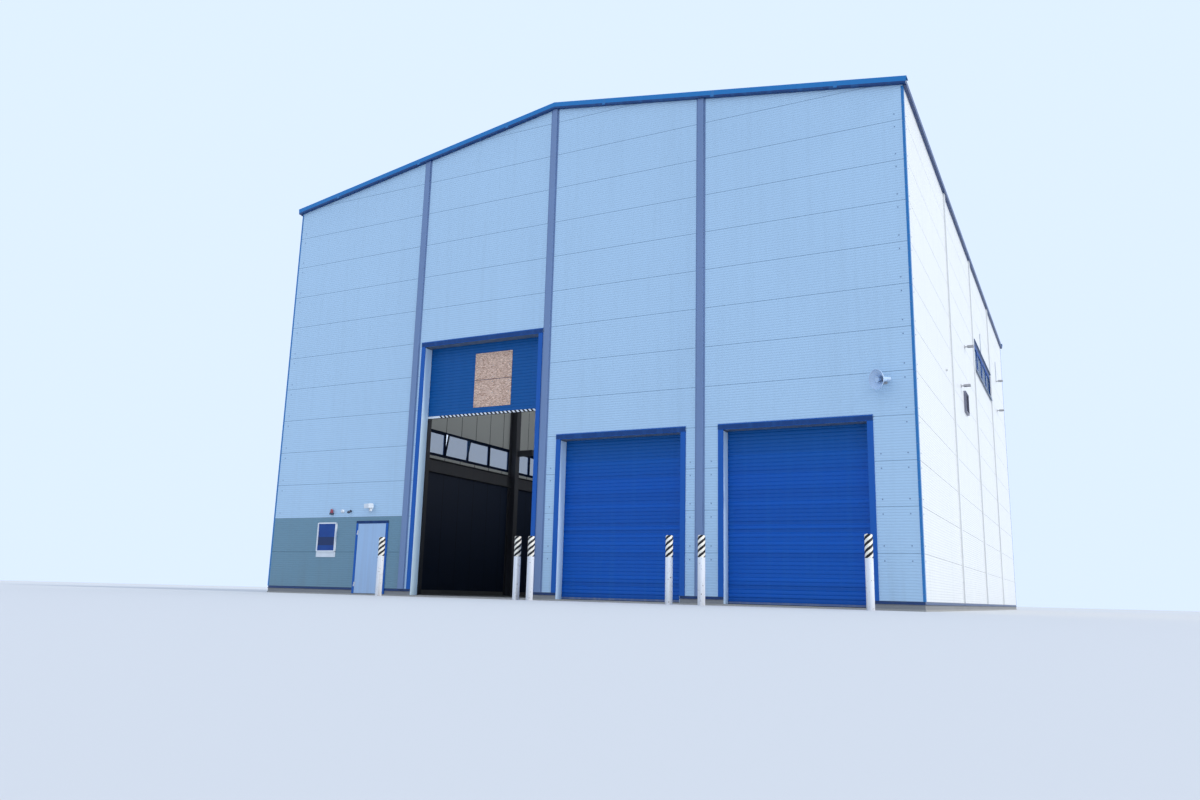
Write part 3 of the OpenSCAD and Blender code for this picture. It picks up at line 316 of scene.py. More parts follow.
# Panel screws
# Each row of panels is screwed to the steel behind it, above and below the joint, with a hex
# head on a broad rubber-backed washer. They show where no strip covers the panels' ends.
PANEL_JOINTS = 11
SCREW_OFF = 0.16
CORNER_IN = 0.23
FACING = {
    "front": (math.pi / 2, 0, 0), "rear": (-math.pi / 2, 0, 0),
    "right": (0, math.pi / 2, 0), "left": (0, -math.pi / 2, 0), "down": (math.pi, 0, 0),
}


def rain_over(paint, plain, soil, streaks=0.3, splash=0.3, uneven=0.4, cloud=None):
    """Ends a coated finish: rain streaks over a plain or clouded colour, on a slightly uneven surface."""
    tree = paint.node_tree
    soiling = effect(tree, weather, Streaks=streaks, Splash=splash)
    if cloud:
        plain = mix(tree, soiling["Cloud"], plain, cloud)
    worn = mix(tree, soiling["Mask"], plain, soil)
    return cover(paint, worn, soiling["Cloud"] if uneven else None, strength=uneven)


def smooth_coat(label, colour, soil, roughness=0.38, streaks=0.25, splash=0.3, coat=0.1, gloss=0.4):
    """Smooth coated sheet or plastic, a little uneven, with rain streaks."""
    paint, tree = new_material(label, roughness, coat, gloss)
    return rain_over(paint, colour, soil, streaks, splash, cloud=shade(colour, 0.85))


def close_edit():
    """Leaves edit mode, if a piece is still open in it."""
    if bpy.context.mode != "OBJECT":
        bpy.ops.object.mode_set(mode="OBJECT")


def select_only(*pieces):
    """Leaves edit mode and selects only these pieces, the first of them as the active one."""
    close_edit()
    bpy.ops.object.select_all(action="DESELECT")
    for piece in pieces:
        piece.select_set(True)
        bpy.context.view_layer.objects.active = pieces[0]


def raise_rings(*rings):
    """Extrudes what is selected through rings, each a rise along Z and a scale."""
    for rise, scale in rings:
        bpy.ops.mesh.extrude_region_move(TRANSFORM_OT_translate={"value": (0, 0, rise)})
        bpy.ops.transform.resize(value=(scale, scale, 1))


def round_part(label, radius, sides, *rings):
    """Starts a round part, open in edit mode: a filled circle, raised through rings."""
    select_only()
    bpy.ops.mesh.primitive_circle_add(vertices=sides, radius=radius, fill_type="NGON")
    bpy.context.object.name = label
    bpy.ops.object.mode_set(mode="EDIT")
    raise_rings(*rings)
    return bpy.context.object


def coat_part(part, material, other=None, test=None):
    """Gives a part its material, and another one to the faces whose middle and normal pass a test."""
    close_edit()
    part.data.materials.clear()
    part.data.materials.append(material)
    if other:
        part.data.materials.append(other)
        for face in part.data.polygons:
            if test(face.center, face.normal):
                face.material_index = 1


def put(part, place, turn=(0, 0, 0), material=None):
    """Leaves edit mode and puts a part in its place, turned, with a material; returns it."""
    close_edit()
    part.location = place
    part.rotation_euler = turn
    if material:
        coat_part(part, material)
    return part


def harden(piece):
    """Selects only this piece, and takes its modifiers into its mesh."""
    select_only(piece)
    for modifier in list(piece.modifiers):
        bpy.ops.object.modifier_apply(modifier=modifier.name)


def join_pieces(label, parts):
    """Joins parts to one piece, with a name, and with their places in its mesh."""
    for part in parts:
        if part.modifiers:
            harden(part)
    select_only(*parts)
    bpy.context.view_layer.update()
    bpy.ops.object.join()
    bpy.ops.object.transform_apply()
    parts[0].name = label
    return parts[0]


def scatter(piece, spots):
    """Copies a piece to each spot, a place and a turn, each copy with its own mesh, and joins them."""
    harden(piece)
    twins = []
    for place, turn in spots:
        twin = piece.copy()
        twin.data = piece.data.copy()
        bpy.context.collection.objects.link(twin)
        twins.append(put(twin, place, turn))
    label = piece.name
    bpy.data.objects.remove(piece)
    return join_pieces(label, twins)


def settle(piece, material=None, body="hall", crease=35):
    """Finishes a piece: modifiers and place taken into the mesh, faces out, material, slot and body."""
    harden(piece)
    bpy.ops.object.transform_apply()
    bpy.ops.object.mode_set(mode="EDIT")
    bpy.ops.mesh.select_all(action="SELECT")
    bpy.ops.mesh.normals_make_consistent(inside=False)
    bpy.ops.object.mode_set(mode="OBJECT")
    bpy.ops.object.shade_smooth_by_angle(angle=math.radians(crease))
    if material:
        coat_part(piece, material)
    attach(piece, body)
    return piece


def on_wall(wall, along, height, proud=0.0):
    """A spot on a wall's outer face, or proud of it: its place, and the turn that looks out."""
    if wall in ("front", "rear"):
        depth = HALF_D + proud
        return (along, -depth if wall == "front" else depth, height), FACING[wall]
    reach = HALF_W + proud
    return (-reach if wall == "left" else reach, along, height), FACING[wall]


# Columns of screws on the front: place along the wall, and number of joints up from the plinth
front_columns = [
    (CORNER_IN - HALF_W, PANEL_JOINTS), (0.26, 3), (4.155, 3), (4.69, 3), (8.645, 3),
    (HALF_W - CORNER_IN, PANEL_JOINTS),
]
screw_spots = []
for row in range(1, PANEL_JOINTS + 1):
    joint = PLINTH_H + row * PANEL_H
    for height in (joint - SCREW_OFF, joint + SCREW_OFF):
        for along, last in front_columns:
            if row <= last:
                screw_spots.append(on_wall("front", along, height))
        for end in (-1, 1):
            screw_spots.append(on_wall("rear", end * (HALF_W - CORNER_IN), height))
            screw_spots.append(on_wall("right", end * (HALF_D - CORNER_IN), height))
            screw_spots.append(on_wall("left", end * (HALF_D - CORNER_IN), height))
screw = round_part("panel_screws", 0.016, 12, (0.0025, 1.0), (0.001, 0.85), (0.0, 0.45), (0.007, 0.92))
screw_coat = smooth_coat("screw_coat", (0.21, 0.31, 0.46), (0.2, 0.2, 0.2), 0.5)
settle(scatter(screw, screw_spots), screw_coat)

# Cover strips and flashings
# Coated sheet folded to a hat, an angle or a cap, and riveted over the joints of the panels.
# The strips on the front are grey violet, the edges of the roof and walls bright blue. Each
# run is lapped from lengths of about four metres.
STRIP_VIOLET = (0.175, 0.265, 0.46)
EDGE_BLUE = (0.010, 0.18, 0.48)
# Painted shade: this navy stands for the shade on the undersides of the eaves flashings, base drips and the
# verge's lower edge.
EAVES_SHADE_NAVY = (0.008, 0.045, 0.17)
TRIM_BLUE = (0.005, 0.10, 0.42)
TRIM_SOIL = (0.03, 0.14, 0.40)
EAVES_H = 12.1
RIDGE_RISE = 1.55
STRIP_X = (-4.4, 0.0, 4.4)
STRIP_Y = (-6.2, 0.0, 6.2)
SHEET = 0.003
VERGE_LIP = 0.008
TALL_HEAD = 7.06
LOW_HEAD = 4.11
LOW_DOORS_FROM = 0.2
FRAME_HEAD = 2.012
RIVET_IN = 0.1025
RIVET_PITCH = 0.4
RIVET_LOW = 0.35
RIVET_TOP = 0.15
LAP_HEIGHTS = (4.25, 8.30)
LAP_T = 0.0024
LAP_H = 0.10
LAP_FLANGE = 0.044
LAP_FACE = 0.162
LAP_OUT = 0.037


def between(tree, value, low, high):
    """A mask: 1 where a value lies between two levels."""
    over = add_math(tree, "GREATER_THAN", value, low)
    under = add_math(tree, "LESS_THAN", value, high)
    return add_math(tree, "MULTIPLY", over, under)


def shade_across_heads(tree, low, high):
    """A mask for painted shade: 1 across the heads of the doorways, between two levels measured from each
    head.
    """
    axes = object_axes(tree)
    tall = between(tree, axes["Z"], TALL_HEAD + low, TALL_HEAD + high)
    right_half = add_math(tree, "GREATER_THAN", axes["X"], LOW_DOORS_FROM)
    lower = between(tree, axes["Z"], LOW_HEAD + low, LOW_HEAD + high)
    return add_math(tree, "MAXIMUM", tall, add_math(tree, "MULTIPLY", lower, right_half))


def trim_finish():
    """Deep blue coated sheet, darker across the heads of the doorways, where no light gets in."""
    paint, tree = new_material("trim_sheet", 0.4, 0.05, 0.25)
    plain = mix(tree, shade_across_heads(tree, 0.01, 0.115), TRIM_BLUE, shade(TRIM_BLUE, 0.45))
    return rain_over(paint, plain, TRIM_SOIL)


def frame_finish():
    """Deep blue coated sheet, with painted shade across the head of the side door."""
    paint, tree = new_material("frame_sheet", 0.4, 0.05, 0.25)
    head = add_math(tree, "GREATER_THAN", object_axes(tree)["Z"], FRAME_HEAD)
    plain = mix(tree, head, TRIM_BLUE, shade(TRIM_BLUE, 0.3))
    return rain_over(paint, plain, TRIM_SOIL, uneven=0)


def verge_finish():
    """Bright blue coated sheet, with painted shade in navy on the turned-in lower edge of the verge."""
    paint, tree = new_material("verge_sheet", 0.4, 0.05, 0.3)
    axes = object_axes(tree)
    fall = add_math(tree, "MULTIPLY", add_math(tree, "ABSOLUTE", axes["X"]), RIDGE_RISE / HALF_W)
    height = add_math(tree, "SUBTRACT", add_math(tree, "ADD", axes["Z"], fall), EAVES_H + RIDGE_RISE)
    shaded_lip = add_math(tree, "LESS_THAN", height, VERGE_LIP)
    return rain_over(paint, mix(tree, shaded_lip, EDGE_BLUE, EAVES_SHADE_NAVY), (0.03, 0.22, 0.52), splash=0.0)


strip_sheet = smooth_coat("strip_sheet", STRIP_VIOLET, (0.22, 0.27, 0.40))
# Painted sunlight: the side strips take the sides' sunlit white.
side_strip_sunlit_sheet = smooth_coat("side_strip_sunlit_sheet", SIDE_SUNLIT_WHITE, (0.6, 0.6, 0.6))
edge_sheet = smooth_coat("edge_sheet", EDGE_BLUE, (0.1, 0.25, 0.5))
eaves_shade_sheet = smooth_coat("eaves_shade_sheet", EAVES_SHADE_NAVY, (0.05, 0.08, 0.14))
dress(strip_sheet, "front_cover_strips", "rear_cover_strips")
dress(side_strip_sunlit_sheet, "side_cover_strips")
dress(verge_finish(), "verge_flashings")
dress(edge_sheet, "ridge_cap")
# The eaves flashings and base drips are navy, painted shade on their undersides.
dress(eaves_shade_sheet, "eaves_flashings", "base_drips")
dress(trim_finish(), "doorway_trims")
dress(frame_finish(), "side_door_frame")


def spread(first, last, pitch):
    """Even places from first to last, about a pitch apart."""
    steps = max(1, round((last - first) / pitch))
    return [first + (last - first) * step / steps for step in range(steps + 1)]


def pick_edges(test):
    """In edit mode, selects only the edges whose middle and direction pass a test."""
    bpy.ops.mesh.select_mode(type="EDGE")
    bpy.ops.mesh.select_all(action="DESELECT")
    shape = bmesh.from_edit_mesh(bpy.context.object.data)
    for edge in shape.edges:
        first, last = (corner.co for corner in edge.verts)
        edge.select_set(bool(test((first + last) / 2, (last - first).normalized())))
    bmesh.update_edit_mesh(bpy.context.object.data)


def give_gauge(sheet, thickness, offset=0):
    """Gives a sheet its thickness, which is taken into the mesh later."""
    gauge = sheet.modifiers.new("gauge", "SOLIDIFY")
    gauge.thickness = thickness
    gauge.offset = offset


def fold_sheet(label, start, folds, low, high, thickness):
    """Folds a sheet that stands from low to high along Z: from a start, each fold adds a leg (x, y)."""
    select_only()
    bpy.ops.mesh.primitive_plane_add(size=1)
    sheet = bpy.context.object
    sheet.name = label
    for corner in sheet.data.vertices:
        flat = Vector(start) + Vector(folds[0]) * (corner.co.x + 0.5)
        corner.co = (*flat, low + (high - low) * (corner.co.y + 0.5))
    bpy.ops.object.mode_set(mode="EDIT")
    tip = Vector(start) + Vector(folds[0])
    for leg in folds[1:]:
        pick_edges(lambda middle, run: abs(run.z) > 0.9 and (middle.xy - tip).length < 1e-5)
        bpy.ops.mesh.extrude_edges_move(TRANSFORM_OT_translate={"value": (*leg, 0)})
        tip += Vector(leg)
    bpy.ops.object.mode_set(mode="OBJECT")
    give_gauge(sheet, thickness)
    return sheet


def roof_at(along):
    """Height of the walls' top at a place along the width."""
    return EAVES_H + RIDGE_RISE * (1 - abs(along) / HALF_W)


def rivet_line(walls, along, top):
    """Spots for a line of rivets at the same place on two walls, up to below the walls' top."""
    heights = spread(RIVET_LOW, top - RIVET_TOP, RIVET_PITCH)
    return [on_wall(wall, along, height, SHEET) for wall in walls for height in heights]


# Corner angles: the front leg is narrow, and the side leg covers the ends of the front panels
CORNER_FRONT = 0.055
CORNER_SIDE = 0.108
CORNER_LEG = 0.034
corner_low, corner_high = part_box("corner_flashings")
corners = []
for across, depth in ((1, -1), (1, 1), (-1, 1), (-1, -1)):
    start = (across * (corner_high.x - SHEET / 2 - CORNER_FRONT), depth * (corner_high.y - SHEET / 2))
    legs = [(across * CORNER_FRONT, 0), (0, -depth * CORNER_SIDE)]
    corners.append(fold_sheet("corner_angles", start, legs, corner_low.z, corner_high.z, SHEET))
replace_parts(settle(join_pieces("corner_angles", corners), edge_sheet), "corner_flashings")

rivet_spots = []
for side in (-1, 1):
    for along in STRIP_X:
        rivet_spots += rivet_line(("front", "rear"), along + side * RIVET_IN, roof_at(along))
    for along in STRIP_Y:
        rivet_spots += rivet_line(("right", "left"), along + side * RIVET_IN, EAVES_H)
    rivet_spots += rivet_line(("front", "rear"), side * (HALF_W - CORNER_LEG), EAVES_H)
    rivet_spots += rivet_line(("right", "left"), side * (HALF_D - CORNER_LEG), EAVES_H)
rivet = round_part("strip_rivets", 0.009, 8, (0.002, 1.0), (0.0025, 0.7), (0.001, 0.5))
rivet_metal = smooth_coat("rivet_metal", (0.20, 0.27, 0.44), (0.2, 0.2, 0.2), 0.4)
settle(scatter(rivet, rivet_spots), rivet_metal)

# Laps of the strips: a short hat over each joint of two lengths
lap_start = (-LAP_FLANGE - LAP_FACE / 2, -SHEET - LAP_T / 2)
lap_folds = [(LAP_FLANGE, 0), (0, -LAP_OUT), (LAP_FACE, 0), (0, LAP_OUT), (LAP_FLANGE, 0)]
# The side laps take the side strips' sunlit white, which is painted sunlight.
for label, sheet, strips, walls in (
    ("front_strip_laps", strip_sheet, STRIP_X, {"front": 0, "rear": math.pi}),
    ("side_strip_laps", side_strip_sunlit_sheet, STRIP_Y, {"right": math.pi / 2, "left": -math.pi / 2}),
):
    lap_spots = []
    for wall, turn in walls.items():
        for along in strips:
            lap_spots += [(on_wall(wall, along, height)[0], (0, 0, turn)) for height in LAP_HEIGHTS]
    lap = fold_sheet(label, lap_start, lap_folds, -LAP_H / 2, LAP_H / 2, LAP_T)
    settle(scatter(lap, lap_spots), sheet)

# Verge laps
# Short sleeves of the same coated sheet, riveted over the places where two lengths of the
# verge flashing meet on the gable.
SLOPE = math.atan2(RIDGE_RISE, HALF_W)
VERGE_OUT = 0.10
VERGE_LOW = -0.04
CREST = 0.135
VERGE_LAP = 0.09


def on_slope(side, along, lift, depth):
    """A place on a roof slope: down from the ridge, up from the panels' underside, and along the hall."""
    across = along * math.cos(SLOPE) + lift * math.sin(SLOPE)
    rise = lift * math.cos(SLOPE) - along * math.sin(SLOPE)
    return Vector((side * across, depth, EAVES_H + RIDGE_RISE + rise))


def start_block(label, size):
    """Adds a cube of a size, alone in the selection, and opens it in edit mode."""
    select_only()
    bpy.ops.mesh.primitive_cube_add(size=1, scale=size)
    bpy.ops.object.transform_apply()
    bpy.context.object.name = label
    bpy.ops.object.mode_set(mode="EDIT")
    return bpy.context.object


def soften(width, segments=2):
    """In edit mode, bevels every edge of the piece."""
    bpy.ops.mesh.select_all(action="SELECT")
    bpy.ops.mesh.bevel(offset=width, segments=segments)


verge_lap = start_block("verge_laps", (VERGE_LAP, LAP_T, CREST - VERGE_LOW))
soften(0.0008, 1)
lap_spots = []
for side in (-1, 1):
    for along in (1.6, 4.8, 8.0):
        for end in (-1, 1):
            depth = end * (HALF_D + VERGE_OUT + LAP_T / 2)
            place = on_slope(side, along, (CREST + VERGE_LOW) / 2, depth)
            lap_spots.append((place, (0, side * SLOPE, 0)))
settle(scatter(verge_lap, lap_spots), edge_sheet)

# Roof
# Ribbed sandwich panels laid down each slope on galvanised purlins, and screwed through the
# ribs with rubber-backed washers.
RIB_STEPS = 77
VERGE_RIB = 0.075
PURLIN_FIRST = 0.14
PURLIN_LAST = 9.21
PURLINS = 6
SCREW_DOWN = 0.03

roof_sheet = smooth_coat("roof_sheet", (0.45, 0.5, 0.56), (0.3, 0.3, 0.28), 0.5)
zinc_sheet = smooth_coat("zinc_sheet", (0.35, 0.37, 0.4), (0.25, 0.25, 0.25), 0.55, 0.15, 0.1)
guide_sheet = smooth_coat("guide_sheet", (0.03, 0.035, 0.05), (0.08, 0.08, 0.09), 0.5)
dress(roof_sheet, "roof_left", "roof_right")
dress(zinc_sheet, "purlins", "shutter_brackets")
dress(guide_sheet, "shutter_guides")
roof_spots = []
for rib in range(1, RIB_STEPS, 2):
    depth = VERGE_RIB - HALF_D + rib * 2 * (HALF_D - VERGE_RIB) / RIB_STEPS
    for side in (-1, 1):
        for row in range(PURLINS):
            across = PURLIN_FIRST + row * (PURLIN_LAST - PURLIN_FIRST) / (PURLINS - 1)
            lift = CREST + (SHEET if row == 0 else 0.0)
            place = on_slope(side, across / math.cos(SLOPE) + SCREW_DOWN, lift, depth)
            roof_spots.append((place, (0, side * SLOPE, 0)))
roof_screw = round_part("roof_screws", 0.011, 8, (0.003, 1.0), (0.0, 0.6), (0.006, 0.9))
settle(scatter(roof_screw, roof_spots), zinc_sheet)

# Steel frame
# Rolled steel columns, rafters, posts and rails, primed grey and dusty. Each column stands on
# a base plate with four anchor bolts.
SLAB_H = 0.04
COLUMN_X = 9.17
FRAME_Y = (-12.4, -6.2, 0.0, 6.2, 12.4)
BASE_T = 0.02

primer_paint = smooth_coat("primer", (0.13, 0.14, 0.165), (0.2, 0.19, 0.18), 0.6, 0.2, 0.4, 0.0)
dress(
    primer_paint,
    "left_columns", "right_columns", "rafters", "front_gable_posts", "rear_gable_posts",
    "wall_rails", "doorway_posts",
)
plate = start_block("column_bases", (0.40, 0.34, BASE_T))
soften(0.003)
bolt_rings = ((0.004, 1.0), (0.0, 0.75), (0.018, 1.0), (0.0, 0.6), (0.02, 1.0))
bolt_spots = [((x, y, BASE_T / 2), (0, 0, 0)) for x in (-0.16, 0.16) for y in (-0.11, 0.11)]
bolts = scatter(round_part("anchor_bolt", 0.022, 12, *bolt_rings), bolt_spots)
base = join_pieces("column_bases", [plate, bolts])
base_spots = [((x, y, SLAB_H + BASE_T / 2), (0, 0, 0)) for x in (-COLUMN_X, COLUMN_X) for y in FRAME_Y]
settle(scatter(base, base_spots), primer_paint)

# Floor slab and plinth
# Trowelled concrete with fine sand, poured on the ground, and a cast kerb under the walls.
# The kerb is darker than the slab, and both are darker in broad clouds.


def concrete_finish(label, colour, scale):
    """Concrete: broad clouds, fine speckle and small pits."""
    paint, tree = new_material(label, 0.88)
    speckle = add_noise(tree, scale, 4.0)
    broad = mix(tree, add_noise(tree, 0.8, 8.0), shade(colour, 0.65), colour)
    return cover(paint, mix(tree, speckle, broad, shade(colour, 1.25)), speckle, 0.004, 0.5)


dress(concrete_finish("slab_concrete", (0.34, 0.33, 0.31), 40.0), "floor_slab")
dress(concrete_finish("kerb_concrete", (0.25, 0.25, 0.25), 60.0), "plinth")

# Doorway linings
# Pale folded sheet, screwed to the doorway posts, that covers the cut ends of the panels on
# the sides and head of each doorway.


def lining_finish():
    """Pale coated sheet, with painted shade across the heads of the doorways."""
    paint, tree = new_material("lining_sheet", 0.4, 0.05)
    plain = mix(tree, shade_across_heads(tree, -0.03, 1.0), (0.64, 0.82, 0.96), (0.12, 0.15, 0.20))
    return rain_over(paint, plain, (0.50, 0.58, 0.64))


dress(lining_finish(), "doorway_linings")

# Roller shutters
# Curtains of roll-formed blue slats, hooked into each other and a little bulged, which run in
# guides and wind onto a barrel behind the head of the doorway.
SHUTTER_BLUE = (0.001, 0.078, 0.37)
# Painted shade: high up the slats turn to this darker, greener blue, as under the heads.
SHUTTER_HIGH_SHADE = (0.001, 0.092, 0.315)
HIGH_FROM = 3.0
HIGH_PER_M = 0.8
SLAT = 0.092
SLAT_START = 0.036
SLAT_FACE = (
    (0.003, -0.007), (0.012, -0.003), (0.028, -0.001), (0.024, 0.001), (0.013, 0.003), (0.004, 0.004),
)
SLAT_HOLLOW = 0.011
SLAT_SHEET = 0.0012
DOORWAYS = {
    "tall_shutter": (3.80, TALL_HEAD),
    "middle_shutter": (3.36, LOW_HEAD), "right_shutter": (3.36, LOW_HEAD),
}
GUIDE_BITE = 0.05
BARREL_RISE = 0.52
ROLL_SIDES = 14
SIDES = {
    "front": Vector((0, -1, 0)), "rear": Vector((0, 1, 0)), "left": Vector((-1, 0, 0)),
    "right": Vector((1, 0, 0)), "down": Vector((0, 0, -1)), "up": Vector((0, 0, 1)),
}


def slat_finish():
    """Blue coated slats, a little different in tone from each other, and darker and less violet high up as
    painted shade.
    """
    paint, tree = new_material("slat_sheet", 0.42, 0.05, 0.2)
    height = object_axes(tree)["Z"]
    turn = add_math(tree, "DIVIDE", add_math(tree, "SUBTRACT", height, SLAT_START), SLAT)
    tone = add_node(tree, "TexWhiteNoise")
    tone.noise_dimensions = "1D"
    feed(tree, tone.inputs["W"], add_math(tree, "FLOOR", turn))
    varied = mix(tree, tone.outputs["Value"], SHUTTER_BLUE, shade(SHUTTER_BLUE, 1.3))
    high = add_math(tree, "MULTIPLY", add_math(tree, "SUBTRACT", height, HIGH_FROM), HIGH_PER_M)
    high = add_math(tree, "MINIMUM", add_math(tree, "MAXIMUM", high, 0.0), 1.0)
    varied = mix(tree, high, varied, SHUTTER_HIGH_SHADE)
    return rain_over(paint, varied, (0.010, 0.12, 0.42), splash=0.35, uneven=0.3)


def bevel_edges(width, segments, axis="", side=""):
    """In edit mode, bevels the edges that run along an axis, or lie on a side, or both."""

    def wanted(middle, run):
        runs_so = not axis or abs(getattr(run, axis)) > 0.9
        return runs_so and (not side or middle.dot(SIDES[side]) > 0)

    pick_edges(wanted)
    bpy.ops.mesh.bevel(offset=width, segments=segments)


def each_doorway():
    """Each shutter's node with its box's low and high corners, its middle, its clear width and its head."""
    for node, (clear, head) in DOORWAYS.items():
        low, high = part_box(node)
        yield node, low, high, (low.x + high.x) / 2, clear, head


slat_sheet = slat_finish()
slat_folds = [(-rise, out) for rise, out in SLAT_FACE]
slat_folds.append((sum(rise for rise, out in SLAT_FACE) - SLAT, -sum(out for rise, out in SLAT_FACE)))
axle_spots = []
for node, low, high, middle, clear, head in each_doorway():
    radius = (high.y - low.y) / 2
    axis = head + BARREL_RISE
    reach = clear / 2 + GUIDE_BITE
    slat_start = (-low.z, low.y + SLAT_HOLLOW)
    curtain = fold_sheet(f"{node}_curtain", slat_start, slat_folds, -reach, reach, SLAT_SHEET)
    stack = curtain.modifiers.new("stack", "ARRAY")
    stack.count = int((axis - low.z) / SLAT) + 1
    stack.use_relative_offset = False
    stack.use_constant_offset = True
    stack.constant_offset_displace = (-SLAT, 0, 0)
    stack.use_merge_vertices = True
    bpy.ops.object.modifier_move_to_index(modifier="stack", index=0)
    put(curtain, (middle, 0, 0), FACING["right"])
    roll = round_part(f"{node}_roll", radius, ROLL_SIDES, (2 * reach, 1.0))
    bevel_edges(0.012, 2, axis="z")
    put(roll, (middle - reach, low.y + radius, axis), FACING["right"])
    whole = join_pieces(f"{node}_curtain", [curtain, roll])
    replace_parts(settle(whole, slat_sheet, crease=28), node)
    for side, turn in ((-1, "left"), (1, "right")):
        axle_spots.append(((middle + side * reach, low.y + radius, axis), FACING[turn]))
axle = round_part("shutter_axles", 0.03, 20, (0.026, 1.0), (0.002, 0.93))
settle(scatter(axle, axle_spots), zinc_sheet)

# Shutter bars
# An extruded bar stiffens each curtain's lower edge, with a rubber seal under it. The raised
# one is painted with slanting stripes.
BAR_H = 0.06
BAR_T = 0.022
BAR_SEAL = 0.012
RAISED_MORE = 0.012
RAISED_FROM = 2.0
STRIPE_PITCH = 0.132
STRIPES_BEFORE_BOARDS = 1.19
STRIPE_BLACK = (0.006, 0.006, 0.008)


def bar_finish():
    """Bare bar, with black and white slanting stripes where it is raised."""
    paint, tree = new_material("bar_stripes", 0.45, gloss=0.3)
    axes = object_axes(tree)
    turn = add_math(tree, "DIVIDE", add_math(tree, "ADD", axes["X"], axes["Z"]), STRIPE_PITCH)
    band = add_math(tree, "GREATER_THAN", add_math(tree, "FRACT", turn), 0.5)
    raised = add_math(tree, "GREATER_THAN", axes["Z"], RAISED_FROM)
    begun = add_math(tree, "GREATER_THAN", axes["X"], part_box("boarding")[0].x - STRIPES_BEFORE_BOARDS)
    dark = add_math(tree, "MULTIPLY", add_math(tree, "MULTIPLY", band, raised), begun)
    soiling = effect(tree, weather, Streaks=0.5, Splash=0.2)
    bare = mix(tree, raised, (0.10, 0.16, 0.34), (0.85, 0.87, 0.90))
    worn = mix(tree, soiling["Mask"], bare, (0.35, 0.35, 0.36))
    return cover(paint, mix(tree, dark, worn, STRIPE_BLACK))


def pick_faces(test):
    """In edit mode, selects only the faces whose middle and normal pass a test."""
    bpy.ops.mesh.select_mode(type="FACE")
    bpy.ops.mesh.select_all(action="DESELECT")
    shape = bmesh.from_edit_mesh(bpy.context.object.data)
    for face in shape.faces:
        face.select_set(bool(test(face.calc_center_median(), face.normal)))
    bmesh.update_edit_mesh(bpy.context.object.data)


def inset_side(side, *steps):
    """In edit mode, insets the flat face of a side in steps, each a margin and a height."""
    pick_faces(lambda middle, normal: normal.dot(SIDES[side]) > 0.98)
    for margin, height in steps:
        bpy.ops.mesh.inset(thickness=margin, depth=height)


rubber = smooth_coat("black_rubber", (0.012, 0.012, 0.014), (0.06, 0.06, 0.06), 0.7, 0.2, 0.3, 0.0)
bar_paint = bar_finish()
bars = []
for node, low, high, middle, clear, head in each_doorway():
    length = clear + 2 * GUIDE_BITE
    bar_h = BAR_H + (RAISED_MORE if low.z > RAISED_FROM else 0)
    bar = start_block(f"{node}_bar", (length, BAR_T, bar_h - BAR_SEAL))
    inset_side("front", (0.006, -0.002))
    soften(0.002)
    bars.append(put(bar, (middle, low.y + BAR_T / 2, low.z - (bar_h - BAR_SEAL) / 2), material=bar_paint))
    seal = start_block(f"{node}_seal", (length, BAR_T - 0.006, BAR_SEAL))
    bevel_edges(0.005, 3, axis="x", side="down")
    bars.append(put(seal, (middle, low.y + BAR_T / 2, low.z - bar_h + BAR_SEAL / 2), material=rubber))
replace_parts(settle(join_pieces("curtain_bars", bars)), "shutter_bars")

# Boarding
# Two boards of pressed wood strands, bare and a little faded, one above the other and screwed
# over the raised curtain.
BOARD_GAP = 0.006
FLAKE_DARK = (0.36, 0.19, 0.125)
FLAKE_PALE = (0.94, 0.68, 0.52)


def strand_board_finish(joint_height):
    """Pressed strands: long flakes in mixed directions and tones, with a dark line between the boards."""
    paint, tree = new_material("strand_board", 0.75)
    place = add_node(tree, "TexCoord").outputs["Object"]
    colour = (0.60, 0.42, 0.34)
    for turn, scale in ((0.5, 26.0), (1.7, 32.0), (2.6, 21.0)):
        lay = add_node(tree, "Mapping", Vector=place, Rotation=(0, turn, 0), Scale=(1.0, 1.0, 3.0))
        flakes = add_node(tree, "TexVoronoi", Vector=lay.outputs[0], Scale=scale).outputs
        tone = add_node(tree, "SeparateColor", Color=flakes["Color"]).outputs
        layer = mix(tree, tone["Red"], FLAKE_DARK, FLAKE_PALE)
        colour = mix(tree, add_math(tree, "GREATER_THAN", tone["Green"], 0.45), colour, layer)
    from_joint = add_math(tree, "SUBTRACT", object_axes(tree)["Z"], joint_height)
    joint = add_math(tree, "LESS_THAN", add_math(tree, "ABSOLUTE", from_joint), 0.008)
    return cover(paint, mix(tree, joint, colour, (0.16, 0.09, 0.08)), flakes["Distance"], 0.003, 0.6)


board_low, board_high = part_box("boarding")
board_size = board_high - board_low
board_middle = (board_low + board_high) / 2
board_h = (board_size.z - BOARD_GAP) / 2
board_lift = (board_h + BOARD_GAP) / 2
board = start_block("strand_boards", (board_size.x, board_size.y, board_h))
soften(0.004)
board_spots = [(board_middle + Vector((0, 0, side * board_lift)), (0, 0, 0)) for side in (-1, 1)]
boards = settle(scatter(board, board_spots), strand_board_finish(board_middle.z))
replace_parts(boards, "boarding")
screw_spots = []
for across in (-0.54, 0.0, 0.54):
    for rise in (-0.71, -0.39, -0.07, 0.07, 0.39, 0.71):
        place = (board_middle.x + across, board_low.y, board_middle.z + rise)
        screw_spots.append((place, FACING["front"]))
board_screw = round_part("board_screws", 0.012, 10, (0.003, 1.0), (0.0, 0.6), (-0.002, 0.9))
settle(scatter(board_screw, screw_spots), zinc_sheet)

